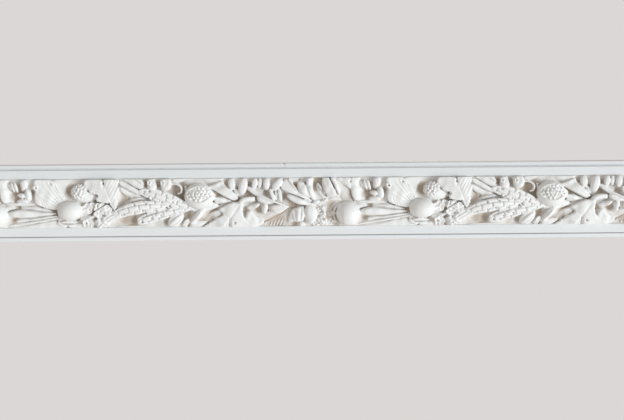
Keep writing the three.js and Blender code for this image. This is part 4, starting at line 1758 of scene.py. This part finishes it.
@dataclass
class RunMoulding(Piece):
    """Plain rails and sunk bed, one section drawn along the length, with softened arrises."""

    node: str = "run_moulding"
    slot: str = "run_plaster"
    shade_angle: float = 35.0
    fillet: float = 6.2
    quirk: float = 2.2
    fascia: float = 14.2
    fillet_face: float = 12.0
    quirk_floor: float = 10.2
    fascia_face: float = 17.0
    bed_floor: float = 7.0
    fillet_round: float = 2.0
    round_share: float = 0.29
    arris: float = 0.7
    softness: float = 0.35
    # Strength of the painted shade in the upper and lower quirk and on the top edge, and how far round each
    # quirk floor it reaches.
    quirk_shade: Point = (0.05, 0.95)
    top_shade: float = 0.45
    shade_margin: float = 1.0
    chip: Point = (-44.5, 6.0)
    chip_cuts: Sequence[float] = (-0.62, -0.5, -0.17, 0.2, 0.5, 0.62)
    chip_share: float = 0.3
    chip_height: float = 2.5
    chip_depth: float = 1.3
    chip_face: float = 0.7
    chip_slope: float = 0.6

    def section(self, half: float) -> List[Point]:
        """Depth and height of each corner of the section.

        Args:
            half: Half the height of the moulding.

        Returns:
            The corners in order, upper half first.
        """
        fillet_foot = half - self.fillet
        fascia_top = fillet_foot - self.quirk
        bed_edge = fascia_top - self.fascia
        bevel = self.fillet_round * self.round_share
        upper = [
            (0.0, half),
            (self.fillet_face - self.fillet_round, half),
            (self.fillet_face - bevel, half - bevel),
            (self.fillet_face, half - self.fillet_round),
            (self.fillet_face, fillet_foot),
            (self.quirk_floor, fillet_foot - self.arris),
            (self.quirk_floor, fascia_top),
            (self.fascia_face - self.arris, fascia_top),
            (self.fascia_face, fascia_top - self.arris),
            (self.fascia_face, bed_edge + self.arris),
            (self.fascia_face - self.arris, bed_edge),
            (self.bed_floor, bed_edge),
        ]
        return upper + [(depth, -z) for depth, z in reversed(upper)]

    def chipped(self, bm: Solid, top: float) -> None:
        """Knocks a small chip out of the top arris.

        Args:
            bm: The drawn moulding, in metres, changed in place.
            top: Height of its top edge.
        """
        middle, width = self.chip
        for share in self.chip_cuts:
            sliced(bm, ((middle + share * width) * MM, 0, 0), (1, 0, 0), ON_PLANE)
        for vert in bm.verts:
            beside = abs(vert.co.x - middle * MM) < width * self.chip_share * MM
            in_front = vert.co.y < -self.fillet_face * self.chip_face * MM
            if beside and in_front and vert.co.z > top - self.chip_height * MM:
                vert.co.z -= self.chip_depth * MM * (1.0 if vert.co.x > middle * MM else self.chip_slope)
                vert.co.y += self.chip_depth * self.chip_face * MM

    def mark_quirk_and_top_shade(self, mesh: bpy.types.Mesh, half: float) -> None:
        """Notes where shade is painted: on the top edge, and in the quirks, more in the lower one.

        Args:
            mesh: The drawn moulding, which gets the values as an attribute of its points.
            half: Half the height of the moulding.
        """
        marks = mesh.attributes.new(SHADE_MARKS, "FLOAT", "POINT")
        for vert, mark in zip(mesh.vertices, marks.data):
            depth = -vert.co.y / MM
            z = vert.co.z / MM
            below = half - abs(z)
            in_quirk = self.fillet - self.shade_margin < below < self.fillet + self.quirk + self.shade_margin
            if in_quirk and abs(depth - self.quirk_floor) < self.shade_margin:
                mark.value = self.quirk_shade[0] if z > 0 else self.quirk_shade[1]
            elif z > half - ON_TOP and depth < self.fillet_face - self.fillet_round:
                mark.value = self.top_shade

    def build(self) -> bpy.types.Object:
        """Draws the section along the length.

        Returns:
            The piece.
        """
        low, high = (Vector(corner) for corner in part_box(self.node))
        bm = bmesh.new()
        corners = [bm.verts.new((low.x, -d * MM, z * MM)) for d, z in self.section(high.z / MM)]
        bm.faces.new(corners)
        bmesh.ops.bevel(
            bm, geom=corners[1:-1], offset=self.softness * MM, segments=3, profile=0.5,
            affect="VERTICES", material=-1,
        )
        _, far = thickened(bm)
        bmesh.ops.translate(bm, vec=(high.x - low.x, 0, 0), verts=far)
        self.chipped(bm, high.z)
        bmesh.ops.recalc_face_normals(bm, faces=list(bm.faces))
        piece = object_from(self.node + "_drawn", bm)
        self.mark_quirk_and_top_shade(piece.data, high.z / MM)
        return piece


@dataclass
class Studio:
    """Camera at the photograph's view, soft light from the right, and a plain pale floor."""

    distance: float = 1.9
    stand_off: float = 0.02
    view_width: float = 0.989
    aim: float = -0.0150
    roll: float = 0.46
    elevation: float = 6.0
    sensor: float = 36.0
    sight: float = 50.0
    key_from: Place = (0.76, -0.64, -0.06)
    key_spread: float = 22.0
    key_strength: float = 1.84
    key_colour: Place = (0.88, 0.955, 1.0)
    window_at: Place = (2.2, -1.2, -0.4)
    window_power: float = 6.0
    rear_at: Place = (0.3, 2.4, 0.0)
    rear_power: float = 18.0
    lamp_size: float = 1.2
    fill_below: Colour = (0.56, 0.543, 0.516, 1.0)
    fill_above: Colour = (0.425, 0.411, 0.388, 1.0)
    backdrop: Colour = (0.708, 0.680, 0.672, 1.0)
    floor_level: float = -1.2
    floor_reach: float = 2.5
    floor_colour: Colour = (0.86, 0.84, 0.83, 1.0)
    floor_glow: float = 0.28
    floor_roughness: float = 0.8

    def camera(self) -> None:
        """Places the camera in front of the moulding, a little above it and rolled as the picture is."""
        data = bpy.data.cameras.new("camera")
        data.sensor_width = self.sensor
        data.lens = self.sensor * self.distance / self.view_width
        data.clip_end = self.sight
        camera = linked("camera", data)
        tilt = math.radians(self.elevation)
        back = self.distance + self.stand_off
        camera.location = (0.0, -back * math.cos(tilt), self.aim + back * math.sin(tilt))
        nod = Matrix.Rotation(math.pi / 2 - tilt, 3, "X")
        turn = nod @ Matrix.Rotation(math.radians(-self.roll), 3, "Z")
        camera.rotation_euler = turn.to_euler()
        bpy.context.scene.camera = camera

    def lamps(self) -> None:
        """Hangs a broad light at the right, a weak one near the right end and one behind for the back."""
        key = bpy.data.lights.new("key", "SUN")
        key.energy = self.key_strength
        key.angle = math.radians(self.key_spread)
        key.color = self.key_colour
        hung = [(key, self.key_from)]
        for name, place, power in (
            ("window", self.window_at, self.window_power),
            ("rear", self.rear_at, self.rear_power),
        ):
            soft = bpy.data.lights.new(name, "AREA")
            soft.shape = "DISK"
            soft.size = self.lamp_size
            soft.energy = power
            soft.color = self.key_colour
            hung.append((soft, place))
        for data, place in hung:
            lamp = linked(data.name, data)
            lamp.location = place
            lamp.rotation_euler = Vector(place).to_track_quat("Z", "Y").to_euler()

    def surround(self) -> None:
        """Sets the fill light, weaker from above, and the plain colour that shows behind the object."""
        world = bpy.data.worlds.new("surround")
        world.use_nodes = True
        bpy.context.scene.world = world
        nodes = world.node_tree.nodes
        fill = nodes["Background"]
        where = add_node(nodes, "TexCoord")
        split = add_node(nodes, "SeparateXYZ")
        height = add_node(nodes, "MapRange", {"From Min": -1.0})
        shade = add_node(nodes, "Mix", {"A": self.fill_below, "B": self.fill_above}, data_type="RGBA")
        behind = add_node(nodes, "Background", {"Color": self.backdrop})
        path = add_node(nodes, "LightPath")
        choose = add_node(nodes, "MixShader")
        join_nodes(world.node_tree.links, (
            (where, "Generated", split, "Vector"),
            (split, "Z", height, "Value"),
            (height, "Result", shade, "Factor"),
            (shade, "Result", fill, "Color"),
            (path, "Is Camera Ray", choose, "Fac"),
            (fill, "Background", choose, 1),
            (behind, "Background", choose, 2),
            (choose, "Shader", nodes["World Output"], "Surface"),
        ))

    def floor(self) -> None:
        """Lays a plain pale floor below the object."""
        bm = bmesh.new()
        bmesh.ops.create_grid(bm, x_segments=1, y_segments=1, size=self.floor_reach)
        bmesh.ops.translate(bm, vec=(0, 0, self.floor_level), verts=bm.verts)
        floor = object_from("floor", bm)
        mat = bpy.data.materials.new("floor_paint")
        mat.use_nodes = True
        shader = mat.node_tree.nodes["Principled BSDF"]
        for socket, value in (
            ("Base Color", self.floor_colour),
            ("Roughness", self.floor_roughness),
            ("Emission Color", self.floor_colour),
            ("Emission Strength", self.floor_glow),
        ):
            shader.inputs[socket].default_value = value
        floor.data.materials.append(mat)

    def build(self) -> None:
        """Sets up the view, the light and the floor."""
        self.camera()
        self.lamps()
        self.surround()
        self.floor()
        bpy.context.scene.view_settings.view_transform = "Standard"


def main() -> None:
    """Loads the frame, sets up the studio and builds each piece."""
    logging.basicConfig(level=logging.INFO, format="%(message)s")
    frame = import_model()
    LOG.info("frame: %d nodes", len(frame["nodes"]))
    Studio().build()
    run = RunMoulding()
    run.dress(run.build(), RUN_FINISH.material())
    skin = Pattern().skin()
    paint = CAST_FINISH.material()
    for cast in (
        EnrichmentCast("enrichment_cast_left", JOINT_X - REPEAT),
        EnrichmentCast("enrichment_cast_right", JOINT_X),
    ):
        cast.dress(cast.build(skin), paint)
    bpy.data.meshes.remove(skin)


if __name__ == "__main__":
    main()
